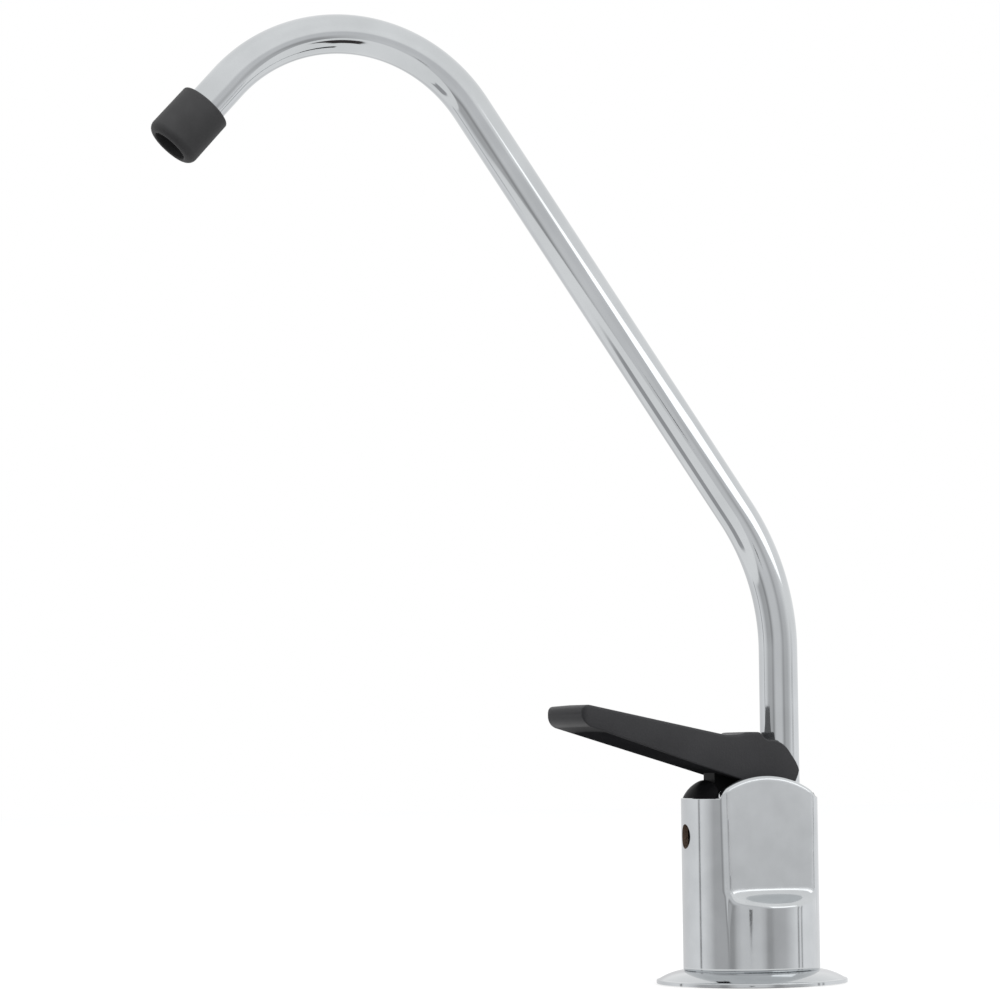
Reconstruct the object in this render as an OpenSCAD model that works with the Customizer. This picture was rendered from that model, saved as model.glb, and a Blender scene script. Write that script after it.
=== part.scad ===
// Drinking water tap with a press lever, a swivel spout and an air gap, fixed through a worktop.
// Millimetres, +Z up. The origin is on the worktop under the body's axis, and the front is -Y.

/* [Spout] */
// Outside diameter of the spout tube
tube_d = 9.5; // [8.8:0.1:9.8]
// Wall of the spout tube
tube_wall = 0.9; // [0.6:0.1:1.2]
// Height at which the upright tube starts its lower bend
rise_z = 81.4; // [70:0.1:120]
// Radius of the lower bend on the tube's middle line
low_bend_r = 60; // [40:0.5:80]
// Angle of the lower bend
low_bend_a = 34.2; // [20:0.1:45]
// Length of the straight leaning run
lean_len = 118.8; // [60:0.1:160]
// Radius of the gooseneck on the tube's middle line
top_bend_r = 38.2; // [28:0.1:50]
// Angle of the gooseneck
top_bend_a = 104; // [60:0.5:120]
// Straight tube that shows between the gooseneck and the tip
end_len = 8.2; // [2:0.1:20]
// Outside diameter of the black tip
tip_d = 13.6; // [11.5:0.1:16]
// Length of the black tip
tip_len = 13.4; // [11:0.1:20]
// Length of tube inside the tip
tip_grip = 8; // [4:0.1:9]
// Diameter of the tip's mouth
tip_mouth_d = 8.8; // [6:0.1:9]
// Rounding of the tip's lower edge
tip_round = 1.5; // [0.5:0.1:2]

/* [Spout foot] */
// Depth that the spout's foot stands in its socket
foot_depth = 7.7; // [7.5:0.1:7.8]
// Height of the foot's shoulder above the socket's mouth
foot_rise = 2.5; // [2.2:0.1:4]
// Length of the spigot pressed into the tube
spigot_len = 5; // [3:0.5:8]
// Bore of the foot
foot_bore_d = 5; // [3:0.1:5.4]
// Thickness of the retaining clip
clip_t = 0.9; // [0.6:0.1:1]
// Outside diameter of the retaining clip
clip_d = 12.2; // [11:0.1:12.4]
// Room between the retaining clip and the inside of the shell
clip_room = 0.9; // [0.6:0.1:1.1]
// Depth of the clip's groove in the foot
clip_groove = 0.8; // [0.5:0.1:1]
// Thickness of the seal rings' cords
ring_cord = 1.2; // [1:0.05:1.3]

/* [Body shell] */
// Outside diameter of the shell
body_d = 33.4; // [33:0.1:36]
// Wall of the shell where it is round
shell_wall = 1.5; // [1.2:0.1:1.6]
// Height of the shell's rim above the worktop
rim_z = 45.3; // [44.5:0.1:50]
// Distance of a cheek's flat from the body's axis, at the rim
cheek_d = 11.2; // [11:0.05:11.4]
// Wall behind a cheek's flat
cheek_wall = 2.8; // [2.4:0.1:2.9]
// Angle by which the cheeks draw together toward the back
cheek_toe = 7; // [5:0.5:7.5]
// Angle by which the cheeks lean in toward the top
cheek_lean = 1; // [0.5:0.1:2]
// Height at which a cheek's flat ends on its ledge
cheek_low_z = 22.4; // [21:0.1:26]
// Slope of the ledge under a cheek
ledge_a = 32; // [25:1:45]
// Height of an ear's crown above the rim
ear_rise = 5.4; // [4:0.1:6]
// Radius of an ear's crown
ear_crown_r = 22; // [19:0.1:26]
// Length of an ear from front to back
ear_len = 26; // [22:0.1:26.2]
// Distance of the top of the ears' arc in front of the middle of the cheeks
ear_lead = 0.6; // [0:0.1:0.8]
// Diameter of the vent hole in front
vent_d = 6; // [3:0.1:8]
// Height of the vent hole
vent_z = 36; // [26:0.5:39]

/* [Bonnet] */
// Step from the shell's outline in to the foot of the dome
dome_step = 0.45; // [0.1:0.05:0.8]
// Radius of the dome's shoulder
dome_r = 8.1; // [7.6:0.1:9]
// Depth of the shoulder's middle below the rim
dome_sink = 3.3; // [2.9:0.1:3.7]
// Height of the dome above the rim
dome_h = 4.4; // [3:0.1:4.4]
// Depth of the bonnet below the rim
bonnet_depth = 7.8; // [7.6:0.1:8]
// Thickness of the bonnet's floor
bonnet_floor = 2.7; // [2.5:0.1:2.7]
// Height of the bonnet's deck under the lever above the rim
deck_rise = 1; // [0.6:0.1:1.2]
// Shank diameter of the screws that hold the bonnet
screw_d = 2.2; // [1.6:0.1:2.4]
// Length of those screws under the head
screw_len = 6.6; // [5:0.1:6.8]

/* [Lever] */
// Reach of the lever in front of the body's axis
lever_reach = 47.1; // [36:0.1:60]
// Height of the lever's underside above the rim, at the body's axis
under_rise = 2.7; // [2.5:0.05:3]
// Slope of the lever's underside
under_a = 18.1; // [17:0.1:22]
// Thickness of the lever's front end
lever_tip_t = 5; // [2.5:0.1:6]
// Slope of the lever's top
top_a = 11.5; // [9:0.1:12.5]
// Angle by which each side of the lever widens in front of the ears
lever_flare = 9; // [7:0.1:12]
// Rounding of the lever's front corners, seen from above
lever_corner_r = 1.3; // [1:0.1:4]
// Distance of the heel's middle behind the body's axis
heel_back = 3.5; // [3.2:0.1:3.8]
// Radius of the lever's round heel
heel_r = 7.5; // [7:0.1:7.6]
// Height of the heel's middle above the rim
heel_rise = 6.3; // [5.6:0.1:6.6]
// Distance of the dip before the heel from the body's axis
dip_front = 9.5; // [8.5:0.1:11]
// Height of the thumb ridge's top above the rim
ridge_rise = 15.9; // [14.8:0.1:17]
// Length of the thumb ridge's level top
ridge_len = 3.2; // [1:0.1:5]
// Width of the lever's hub between the bonnet's lugs
hub_w = 8; // [7:0.1:8.3]
// Radius of the hub round the pin and at the cam
hub_r = 2.2; // [2:0.05:2.25]
// Diameter of the lever's pin
pin_d = 2.5; // [2:0.1:2.6]
// Depth of the pin's axis below the rim
pin_drop = 1.7; // [1.6:0.1:1.9]
// Distance of the front of the hub's neck from the body's axis
neck_front = 10.3; // [9.6:0.1:10.4]
// Travel of the lever in degrees
lever_travel = 7; // [4:0.5:7]

/* [Valve] */
// Wall of the water block round its bores
block_wall = 1.4; // [1.1:0.1:1.5]
// Diameter of the stem in its gland
stem_d = 4; // [3:0.1:4.2]
// Diameter of the stem's neck in the seat
neck_d = 3; // [2:0.1:3.4]
// Outside diameter of the gland's thread
gland_d = 11; // [10:0.1:11.2]
// Length of the gland's thread
gland_len = 8; // [7.5:0.1:8]
// Diameter of the gland's collar
collar_d = 12.4; // [11.6:0.1:12.6]
// Room between the gland's collar and the spout's retaining clip
collar_room = 1.1; // [0.9:0.1:1.3]
// Height of the gland's collar
collar_h = 1.5; // [1:0.1:1.6]
// Height of the outlet space under the gland
outlet_h = 4; // [3.6:0.1:4.4]
// Thickness of the seat
seat_t = 3.5; // [3:0.1:4]
// Bore of the seat
seat_bore_d = 5.4; // [4.6:0.1:5.6]
// Height of the lip that the washer closes on
lip_h = 0.4; // [0.2:0.1:0.6]
// Diameter of the inlet chamber
chamber_d = 9.2; // [8.6:0.1:9.4]
// Height of the inlet chamber under the seat
chamber_h = 9.5; // [9:0.1:10]
// Diameter of the sealing washer
washer_d = 7.6; // [6.8:0.1:7.8]
// Thickness of the sealing washer
washer_t = 1.6; // [1:0.1:2]
// Thickness of the stem's disc
disc_t = 1.4; // [1:0.1:2]
// Wire of the return spring
spring_wire = 0.7; // [0.5:0.05:0.8]
// Outside diameter of the return spring
spring_d = 6.8; // [6:0.1:7.4]
// Turns of the return spring
spring_turns = 4; // [3:0.5:4.5]

/* [Air gap] */
// Distance of the waste riser from the body's axis
riser_off = 10.6; // [10.4:0.1:10.9]
// Outside diameter of the waste riser
riser_d = 5.8; // [5:0.1:6]
// Height of the waste riser above the tray
riser_h = 9; // [6:0.5:9.5]
// Bore of the waste riser
riser_bore_d = 3; // [2:0.1:3.2]
// Distance of the drain cup from the body's axis
drain_off = 11.2; // [11.1:0.05:11.3]
// Outside diameter of the drain cup
drain_d = 7.2; // [6.6:0.1:7.2]
// Height of the drain cup above the tray
drain_h = 4; // [2:0.5:6]
// Bore of the drain cup
drain_bore_d = 4.6; // [4:0.1:4.8]
// Thickness of the tray
tray_t = 2.5; // [2:0.1:3]
// Length of the hose barbs below the worktop's face
barb_drop = 12; // [8:0.5:14]
// Diameter of the waste inlet's barb
waste_barb_d = 4.8; // [4.4:0.1:5]
// Diameter of the drain's barb
drain_barb_d = 6.9; // [6.4:0.1:7]

/* [Base and worktop] */
// Diameter of the base plate
plate_d = 46.6; // [44:0.2:60]
// Height of the base plate under the shell
plate_h = 3.4; // [3:0.1:4.5]
// Height of the base plate's edge
plate_edge = 0.6; // [0.4:0.1:1]
// Radius of the base plate's crown
plate_crown_r = 14; // [10:0.5:30]
// Thickness of the base plate's metal
plate_t = 1; // [0.7:0.1:1.2]
// Outside diameter of the gasket
gasket_d = 40; // [37:0.5:41]
// Amount that the gasket stands proud of the base plate
gasket_proud = 0.3; // [0.1:0.1:0.6]
// Thickness of the worktop between the gasket and the locating washer
worktop_t = 16; // [15:0.5:24]
// Outside diameter of the shank's thread
shank_d = 11.1; // [10:0.1:11.2]
// Bore of the shank
shank_bore_d = 6; // [4:0.1:6.2]
// Length of the shank below the worktop's face
shank_drop = 48; // [44:0.5:60]
// Outside diameter of the locating washer
locator_d = 42; // [36:0.5:50]
// Thickness of the locating washer
locator_t = 3; // [2:0.1:5]
// Outside diameter of the lock washer
lock_d = 17.4; // [15:0.1:20]
// Thickness of the lock washer
lock_t = 1; // [0.6:0.1:1.6]
// Width of the mounting nut across its flats
nut_af = 15.9; // [14.5:0.1:19]
// Height of the mounting nut
nut_h = 6; // [4:0.1:9]

/* [Supply joint] */
// Diameter of the supply tube's hole
supply_d = 6.5; // [5:0.1:6.6]
// Width of the inlet nut across its flats
inlet_af = 15.9; // [14.5:0.1:19]
// Length of the inlet nut over the shank
inlet_grip = 7; // [5:0.1:10]
// Length of the inlet nut below the shank
inlet_tail = 9; // [8.4:0.1:14]
// Outside diameter of the ferrule
ferrule_d = 9; // [8.2:0.1:9.4]
// Length of the ferrule
ferrule_len = 4; // [3:0.1:4.2]

/* [Fits] */
// Radial clearance of parts that turn or slide in each other
run_gap = 0.05; // [0.03:0.01:0.08]
// Gap between moving faces that don't guide each other
free_gap = 0.3; // [0.25:0.01:0.32]
// Gap round parts that are fixed together
fit_gap = 0.02; // [0.01:0.01:0.05]
// Gap of the washer's lip and the cam at rest
seat_gap = 0.03; // [0.02:0.01:0.05]

/* [Hidden] */
$fn = 72;

// Colours
CHROME = [0.80, 0.82, 0.84];
BLACK = [0.16, 0.16, 0.17];
BRASS = [0.78, 0.63, 0.32];
STEEL = [0.66, 0.67, 0.69];
RUBBER = [0.09, 0.09, 0.09];
ACETAL = [0.88, 0.87, 0.83];

// Lengths that run past a face when it is cut
over = 1;
far = 60;

// Rise and length of the bands at the tube's bends
mark_rise = 0.02;
mark_len = 0.6;

// Levels from the worktop up
core_top = rim_z - bonnet_depth;
floor_top = core_top + bonnet_floor;
deck_z = rim_z + deck_rise;
pin_z = rim_z - pin_drop;
ear_top = rim_z + ear_rise;
gland_low = core_top - gland_len;
seat_top = gland_low - outlet_h;
seat_low = seat_top - seat_t;
chamber_low = seat_low - chamber_h;
tray_top = plate_h + tray_t;
socket_low = core_top - foot_depth - free_gap;
gallery_z = gland_low - outlet_h / 2;

// Radii that fit each other
shell_in = body_d / 2 - shell_wall;
tube_r = tube_d / 2;
tube_back = shell_in - clip_d / 2 - clip_room;
tube_bore = tube_r - tube_wall;
socket_r = tube_r + run_gap;
slot_r = tube_r + free_gap + run_gap;
shank_r = shank_d / 2;
stem_r = stem_d / 2;
chamber_r = chamber_d / 2;
gland_r = gland_d / 2;
dome_foot = body_d / 2 - dome_step;

// Outsides of the water block round its bores
valve_boss_r = gland_r + block_wall;
spout_boss_r = socket_r + block_wall;
column_r = shank_r + block_wall + free_gap;

// Distance of a cheek's flat from the axis at a height, and of the lever's side
function cheek_x(z) = cheek_d + (rim_z - z) * tan(cheek_lean);
lever_side = cheek_x(ear_top) - cheek_wall - free_gap;

// The valve stands under the cam, clear of the spout's clip
cam_arm = collar_d / 2 + collar_room + clip_d / 2 - tube_back;
valve_y = -cam_arm;
cam_z = pin_z + cam_arm * sin(lever_travel / 2);
stem_top = cam_z - hub_r - seat_gap;
stem_travel = cam_arm * lever_travel * PI / 180;

// Heights of the two seal rings on the foot, as shares of its depth, and of its clip
foot_ring_at = [0.28, 0.68];
foot_low = core_top - foot_depth;
foot_rings = [for (share = foot_ring_at) foot_low + foot_depth * share];
groove_r = tube_r - ring_cord + run_gap;
clip_low = core_top + run_gap;

// Half-length of the pin, which the ears keep in
pin_half = lever_side - free_gap / 2;

// Places of the bonnet's screws, between the valve and the spout
screw_x = 6;
screw_y = 1.6;
screw_af = 3.2;
screw_head_h = 1.4;
plate_under = 3;

// Room before and behind the lever's hub in the bonnet
hub_room = 1.2;
well_front = neck_front + hub_room;
well_back = hub_r + free_gap;

// Water ways of the block, from the shank up past the chamber's floor
chamber_floor = 1;
shank_in = chamber_low - tray_top - chamber_floor;
supply_hole_r = 2.2;
supply_top = chamber_low + 2 * block_wall;
gallery_r = outlet_h / 2 - 2 * run_gap;
web_half = gallery_r + block_wall;
web_low = seat_top - block_wall;

// Heights of the seals in the gland, as shares of its length, and round the seat
stem_ring_at = 0.7;
gland_ring_at = 0.25;
stem_ring_z = gland_low + gland_len * stem_ring_at;
gland_ring_z = gland_low + gland_len * gland_ring_at;
seat_ring_z = seat_low + seat_t / 2;

// Levels of the stem's disc and washer at rest
washer_top = seat_low - lip_h - seat_gap;
disc_top = washer_top - washer_t;
disc_low = disc_top - disc_t;
guide_len = 1.5;

// Middle of the crown's circle, which passes through the plate's edge and the shell's foot
crown_a = [body_d / 2, plate_h];
crown_b = [plate_d / 2, plate_edge + gasket_proud];
crown_half = norm(crown_b - crown_a) / 2;
crown_dir = (crown_b - crown_a) / (2 * crown_half);
crown_mid = (crown_a + crown_b) / 2
    + [crown_dir[1], -crown_dir[0]] * sqrt(pow(plate_crown_r, 2) - pow(crown_half, 2));

// Points round a ring of the spring's wire
spring_sides = 6;
spring_rings = 8;
spring_low = chamber_low + spring_wire / 2 + run_gap;
spring_high = disc_low - spring_wire / 2 - run_gap;
spring_mid = (spring_d - spring_wire) / 2;
function coil_ring(t) = [for (k = [0 : spring_sides - 1])
    let (a = 360 * t * spring_turns, b = 360 * k / spring_sides,
        r = spring_mid + spring_wire / 2 * cos(b))
    [r * cos(a), r * sin(a), spring_low + (spring_high - spring_low) * t + spring_wire / 2 * sin(b)]];

// Back end of the lever's heel, run of the step behind its ridge, and start of its flare
heel_end = heel_back + heel_r;
ridge_fall = 1.4;
flare_at = ear_len / 2 + over;

// Everything outside the two flat cheeks, set in by a wall
module outside_cheeks(inset) {
    low_x = cheek_x(cheek_low_z) - inset;
    low_z = cheek_low_z + inset * (tan(ledge_a) - 1 / cos(ledge_a));
    top_x = cheek_x(far) - inset;
    for (side = [0, 1])
        mirror([side, 0, 0])
            rotate([0, 0, cheek_toe])
                rotate([90, 0, 0])
                    linear_extrude(height = 2 * far, center = true)
                        polygon([[low_x, low_z], [far, low_z - (far - low_x) * tan(ledge_a)],
                            [far, far], [top_x, far]]);
}

// Solid run of the bent tube at a radius, from a start height, with the end run given
module tube_run(r, start_z, end_run) {
    translate([0, tube_back, start_z])
        cylinder(r = r, h = rise_z - start_z);
    translate([0, tube_back, rise_z])
        bend(r, low_bend_r, low_bend_a)
            union() {
                cylinder(r = r, h = lean_len);
                translate([0, 0, lean_len])
                    bend(r, top_bend_r, top_bend_a)
                        cylinder(r = r, h = end_run);
            }
}

// Faint band that the bending tool leaves where a bend starts or ends
module bend_mark(r) {
    cylinder(r = r + mark_rise, h = mark_len, center = true);
}

// A bend that leaves upward and turns to the front, with what follows it at its end
module bend(r, bend_r, angle) {
    translate([0, -bend_r, 0])
        rotate([90, 0, 90])
            rotate_extrude(angle = angle)
                translate([bend_r, 0])
                    circle(r = r);
    bend_mark(r);
    translate([0, -bend_r, 0])
        rotate([angle, 0, 0])
            translate([0, bend_r, 0])
                union() {
                    bend_mark(r);
                    children();
                }
}

// Frame at the end of the visible tube, with Z along the tube
module at_tip() {
    translate([0, tube_back, rise_z])
        translate([0, -low_bend_r, 0])
            rotate([low_bend_a, 0, 0])
                translate([0, low_bend_r, lean_len])
                    translate([0, -top_bend_r, 0])
                        rotate([top_bend_a, 0, 0])
                            translate([0, top_bend_r, end_len])
                                children();
}

// A seal ring with its middle circle and cord given
module seal_ring(middle_r, cord) {
    rotate_extrude()
        translate([middle_r, 0])
            circle(d = cord);
}

// A straight tube
module pipe(r_out, r_in, h) {
    difference() {
        cylinder(r = r_out, h = h);
        translate([0, 0, -over])
            cylinder(r = r_in, h = h + 2 * over);
    }
}

// A six-sided bar of a width across its flats
module hex_bar(af, h) {
    cylinder(d = af / cos(30), h = h, $fn = 6);
}

module spout_tube() {
    color(CHROME)
        difference() {
            tube_run(tube_r, core_top + foot_rise, end_len + tip_grip);
            tube_run(tube_bore, core_top + foot_rise - over, end_len + tip_grip + over);
        }
}

// Sleeve pushed over the tube's end
module spout_tip() {
    tip_r = tip_d / 2;
    color(BLACK)
        at_tip()
            rotate_extrude()
                difference() {
                    union() {
                        square([tip_r, tip_len - tip_round]);
                        square([tip_r - tip_round, tip_len]);
                        translate([tip_r - tip_round, tip_len - tip_round])
                            circle(r = tip_round);
                    }
                    square([tip_mouth_d / 2, tip_len + over]);
                    translate([0, -over])
                        square([tube_r + fit_gap, tip_grip + fit_gap + over]);
                    translate([-tip_d, -over])
                        square([tip_d, tip_len + 2 * over]);
                }
}

module spout_foot() {
    color(BRASS)
        translate([0, tube_back, 0])
            difference() {
                union() {
                    translate([0, 0, foot_low])
                        cylinder(r = tube_r, h = core_top + foot_rise - foot_low);
                    translate([0, 0, core_top + foot_rise - over])
                        cylinder(r = tube_bore - fit_gap, h = spigot_len + over);
                }
                translate([0, 0, foot_low - over])
                    cylinder(d = foot_bore_d, h = far);
                for (z = foot_rings)
                    translate([0, 0, z - ring_cord / 2 - fit_gap])
                        pipe(tube_r + over, groove_r - fit_gap, ring_cord + 2 * fit_gap);
                translate([0, 0, clip_low - fit_gap])
                    pipe(tube_r + over, tube_r - clip_groove, clip_t + 2 * fit_gap);
            }
}

module spout_o_rings() {
    color(RUBBER)
        for (z = foot_rings)
            translate([0, tube_back, z])
                seal_ring(groove_r + ring_cord / 2 - run_gap / 2, ring_cord - run_gap);
}

// Split ring in the foot's groove, kept down by the bonnet
module spout_clip() {
    gap_w = 2.5;
    color(STEEL)
        translate([0, tube_back, clip_low])
            difference() {
                pipe(clip_d / 2, tube_r - clip_groove + fit_gap, clip_t);
                translate([-gap_w / 2, 0, -over])
                    cube([gap_w, clip_d, clip_t + 2 * over]);
            }
}

// Side view of the lever, with the distance in front of the axis across and the height up
module lever_side_view() {
    under_z = rim_z + under_rise;
    tip_low = under_z + lever_reach * tan(under_a);
    tip_top = tip_low + lever_tip_t;
    tip_slant = lever_tip_t / 4;
    dip_z = tip_top - (lever_reach - dip_front) * tan(top_a);
    ridge_z = rim_z + ridge_rise;
    heel_z = rim_z + heel_rise;
    intersection() {
        union() {
            polygon([[0, under_z], [lever_reach, tip_low], [lever_reach - tip_slant, tip_top],
                [dip_front, dip_z], [ridge_len, ridge_z], [0, ridge_z], [-ridge_fall, heel_z + heel_r],
                [-heel_back, heel_z + heel_r], [-heel_back, heel_z]]);
            translate([-heel_back, heel_z])
                circle(r = heel_r);
        }
        polygon([[-far, under_z], [0, under_z], [far, under_z + far * tan(under_a)],
            [far, 2 * far], [-far, 2 * far]]);
    }
}

// Plan of the lever, which follows the cheeks between the ears and then widens to the front
module lever_plan() {
    half_heel = (lever_side - heel_end * sin(cheek_toe)) / cos(cheek_toe);
    half_ear = (lever_side + flare_at * sin(cheek_toe)) / cos(cheek_toe);
    corner_y = lever_corner_r - lever_reach;
    corner_x = half_ear - (corner_y + flare_at) * tan(lever_flare) - lever_corner_r / cos(lever_flare);
    side_x = corner_x + lever_corner_r * cos(lever_flare);
    side_y = corner_y + lever_corner_r * sin(lever_flare);
    polygon([[half_heel, heel_end], [half_ear, -flare_at], [side_x, side_y], [corner_x, corner_y],
        [corner_x, -lever_reach], [-corner_x, -lever_reach], [-corner_x, corner_y], [-side_x, side_y],
        [-half_ear, -flare_at], [-half_heel, heel_end]]);
    for (side = [-1, 1])
        translate([side * corner_x, corner_y])
            circle(r = lever_corner_r);
}

// Side view of the hub that hangs between the bonnet's lugs
module hub_side_view() {
    cam_y = cam_arm * cos(lever_travel / 2);
    neck_top = rim_z + under_rise + neck_front * tan(under_a) + over;
    translate([0, pin_z])
        circle(r = hub_r);
    translate([cam_y, cam_z])
        circle(r = hub_r);
    polygon([[-hub_r, pin_z], [0, pin_z], [cam_y, cam_z], [cam_y + hub_r, cam_z],
        [neck_front, deck_z + over], [neck_front, neck_top], [-hub_r, rim_z + heel_rise]]);
}

// Stands a side view up across the part
module across(width) {
    rotate([90, 0, -90])
        linear_extrude(height = width, center = true)
            children();
}

module lever() {
    color(BLACK)
        difference() {
            union() {
                intersection() {
                    across(far)
                        lever_side_view();
                    linear_extrude(height = 2 * far)
                        lever_plan();
                }
                across(hub_w)
                    hub_side_view();
            }
            translate([0, tube_back, core_top])
                cylinder(r = slot_r, h = far);
            translate([-slot_r, tube_back, core_top])
                cube([2 * slot_r, far, far]);
            translate([0, 0, pin_z])
                rotate([0, 90, 0])
                    cylinder(r = pin_d / 2 + run_gap, h = far, center = true);
        }
}

module lever_pin() {
    color(STEEL)
        translate([0, 0, pin_z])
            rotate([0, 90, 0])
                cylinder(d = pin_d, h = 2 * pin_half, center = true);
}

module at_screws() {
    for (side = [-1, 1])
        translate([side * screw_x, screw_y, core_top - plate_under])
            children();
}

// Solid of the dome before its cuts, down to the rim
module dome_solid() {
    middle_r = dome_foot - sqrt(pow(dome_r, 2) - pow(dome_sink, 2));
    translate([0, 0, rim_z])
        rotate_extrude()
            intersection() {
                union() {
                    translate([middle_r, -dome_sink])
                        circle(r = dome_r);
                    square([middle_r, dome_h]);
                }
                square([body_d, dome_h]);
            }
}

module bonnet() {
    half_well = hub_w / 2 + free_gap;
    color(BLACK)
        difference() {
            union() {
                translate([0, 0, core_top])
                    cylinder(r = shell_in - fit_gap, h = bonnet_depth + over / 2);
                dome_solid();
            }
            outside_cheeks(cheek_wall + fit_gap);
            translate([-body_d, -well_front, deck_z])
                cube([2 * body_d, 2 * body_d, far]);
            translate([-half_well, -well_front, floor_top])
                cube([2 * half_well, well_front + well_back, far]);
            translate([0, valve_y, core_top - over])
                cylinder(r = stem_r + free_gap, h = far);
            translate([0, valve_y, core_top - over])
                cylinder(r = collar_d / 2 + run_gap, h = collar_h + fit_gap + over);
            translate([0, tube_back, core_top - over])
                cylinder(r = tube_r + free_gap / 2, h = far);
            translate([0, tube_back, core_top - over])
                cylinder(r = clip_d / 2 + free_gap, h = clip_t + 2 * free_gap + over);
            translate([0, 0, pin_z])
                rotate([0, 90, 0])
                    cylinder(r = pin_d / 2 + fit_gap, h = far, center = true);
            at_screws()
                cylinder(d = screw_d + 2 * fit_gap, h = screw_len + fit_gap);
        }
}

// Six-sided screws put in from below before the shell goes on
module bonnet_screws() {
    color(STEEL)
        at_screws()
            union() {
                cylinder(d = screw_d, h = screw_len);
                translate([0, 0, -screw_head_h])
                    hex_bar(screw_af, screw_head_h);
            }
}

// Side view of the ears, run out square to the cheeks
module ear_crowns() {
    for (side = [0, 1])
        mirror([side, 0, 0])
            rotate([0, 0, cheek_toe])
                intersection() {
                    translate([0, -ear_lead, ear_top - ear_crown_r])
                        rotate([0, 90, 0])
                            cylinder(r = ear_crown_r, h = far);
                    translate([0, -ear_len / 2, 0])
                        cube([far, ear_len, far]);
                }
}

module body_shell() {
    color(CHROME)
        difference() {
            union() {
                translate([0, 0, plate_h])
                    cylinder(d = body_d, h = rim_z - plate_h);
                intersection() {
                    translate([0, 0, rim_z - over])
                        cylinder(d = body_d, h = ear_rise + 2 * over);
                    ear_crowns();
                    outside_cheeks(cheek_wall);
                }
            }
            outside_cheeks(0);
            difference() {
                translate([0, 0, plate_h - over])
                    cylinder(r = shell_in, h = far);
                outside_cheeks(cheek_wall);
            }
            translate([0, 0, vent_z])
                rotate([90, 0, 0])
                    cylinder(d = vent_d, h = far);
        }
}

// Water block, with the shank's column below and bosses for the valve and the spout
module valve_body() {
    color(ACETAL)
        difference() {
            union() {
                translate([0, 0, tray_top])
                    cylinder(r = column_r, h = supply_top + block_wall - tray_top);
                translate([0, valve_y, chamber_low - block_wall])
                    cylinder(r = valve_boss_r, h = core_top - chamber_low + block_wall);
                translate([0, tube_back, web_low])
                    cylinder(r = spout_boss_r, h = core_top - web_low);
                translate([-web_half, valve_y, web_low])
                    cube([2 * web_half, tube_back - valve_y, core_top - web_low]);
                translate([-column_r, valve_y, core_top - plate_under])
                    cube([2 * column_r, tube_back - valve_y, plate_under]);
            }
            translate([0, 0, tray_top - over])
                cylinder(r = shank_r, h = shank_in + over);
            translate([0, 0, tray_top])
                cylinder(r = supply_hole_r, h = supply_top - tray_top);
            translate([0, valve_y, chamber_low])
                cylinder(r = chamber_r, h = far);
            translate([0, valve_y, seat_low])
                cylinder(r = gland_r + fit_gap, h = far);
            translate([0, tube_back, socket_low])
                cylinder(r = socket_r, h = far);
            translate([0, tube_back, seat_top])
                cylinder(r = web_half, h = far);
            translate([0, valve_y, gallery_z])
                rotate([-90, 0, 0])
                    cylinder(r = gallery_r, h = tube_back - valve_y);
            at_screws()
                translate([0, 0, -over])
                    cylinder(d = screw_d + 2 * fit_gap, h = far);
            at_screws()
                translate([0, 0, -screw_head_h - free_gap])
                    cylinder(r = screw_af / 2 / cos(30) + free_gap, h = screw_head_h + free_gap);
            outside_cheeks(cheek_wall + free_gap);
            pipe(2 * far, shell_in - free_gap, far);
        }
}

// Screwed guide of the stem, with windows under it for the water
module gland() {
    cage_wall = 1.1;
    color(BRASS)
        translate([0, valve_y, 0])
            difference() {
                union() {
                    translate([0, 0, seat_top])
                        cylinder(r = gland_r, h = core_top - seat_top);
                    translate([0, 0, core_top])
                        cylinder(d = collar_d, h = collar_h);
                }
                translate([0, 0, seat_top - over])
                    cylinder(r = gland_r - cage_wall, h = outlet_h + over);
                translate([-gallery_r, -far, seat_top - over])
                    cube([2 * gallery_r, 2 * far, outlet_h + over]);
                cylinder(r = stem_r + run_gap, h = far);
                translate([0, 0, stem_ring_z - ring_cord / 2 - fit_gap])
                    cylinder(r = stem_r + ring_cord, h = ring_cord + 2 * fit_gap);
                translate([0, 0, gland_ring_z - ring_cord / 2 - fit_gap])
                    pipe(gland_r + over, gland_r - ring_cord, ring_cord + 2 * fit_gap);
            }
}

module gland_o_ring() {
    color(RUBBER)
        translate([0, valve_y, gland_ring_z])
            seal_ring(gland_r - ring_cord / 2, ring_cord - 2 * fit_gap);
}

module stem_o_ring() {
    color(RUBBER)
        translate([0, valve_y, stem_ring_z])
            seal_ring(stem_r + ring_cord / 2, ring_cord - 2 * run_gap);
}

module seat_o_ring() {
    color(RUBBER)
        translate([0, valve_y, seat_ring_z])
            seal_ring(gland_r - ring_cord / 2, ring_cord - 2 * fit_gap);
}

module valve_seat() {
    lip_w = 0.6;
    color(BRASS)
        translate([0, valve_y, 0])
            difference() {
                union() {
                    translate([0, 0, seat_low])
                        cylinder(r = gland_r - fit_gap, h = seat_t);
                    translate([0, 0, seat_low - lip_h])
                        cylinder(r = seat_bore_d / 2 + lip_w, h = lip_h + over);
                }
                translate([0, 0, seat_low - over])
                    cylinder(d = seat_bore_d, h = seat_t + 2 * over);
                translate([0, 0, seat_ring_z - ring_cord / 2 - fit_gap])
                    pipe(gland_r + over, gland_r - ring_cord, ring_cord + 2 * fit_gap);
            }
}

module valve_stem() {
    color(BRASS)
        translate([0, valve_y, 0])
            union() {
                translate([0, 0, gland_low])
                    cylinder(r = stem_r, h = stem_top - gland_low);
                translate([0, 0, disc_low])
                    cylinder(d = neck_d, h = gland_low - disc_low);
                translate([0, 0, disc_low])
                    cylinder(d = washer_d, h = disc_t);
                translate([0, 0, disc_low - guide_len])
                    cylinder(r = spring_d / 2 - spring_wire - run_gap - free_gap, h = guide_len);
            }
}

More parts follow.
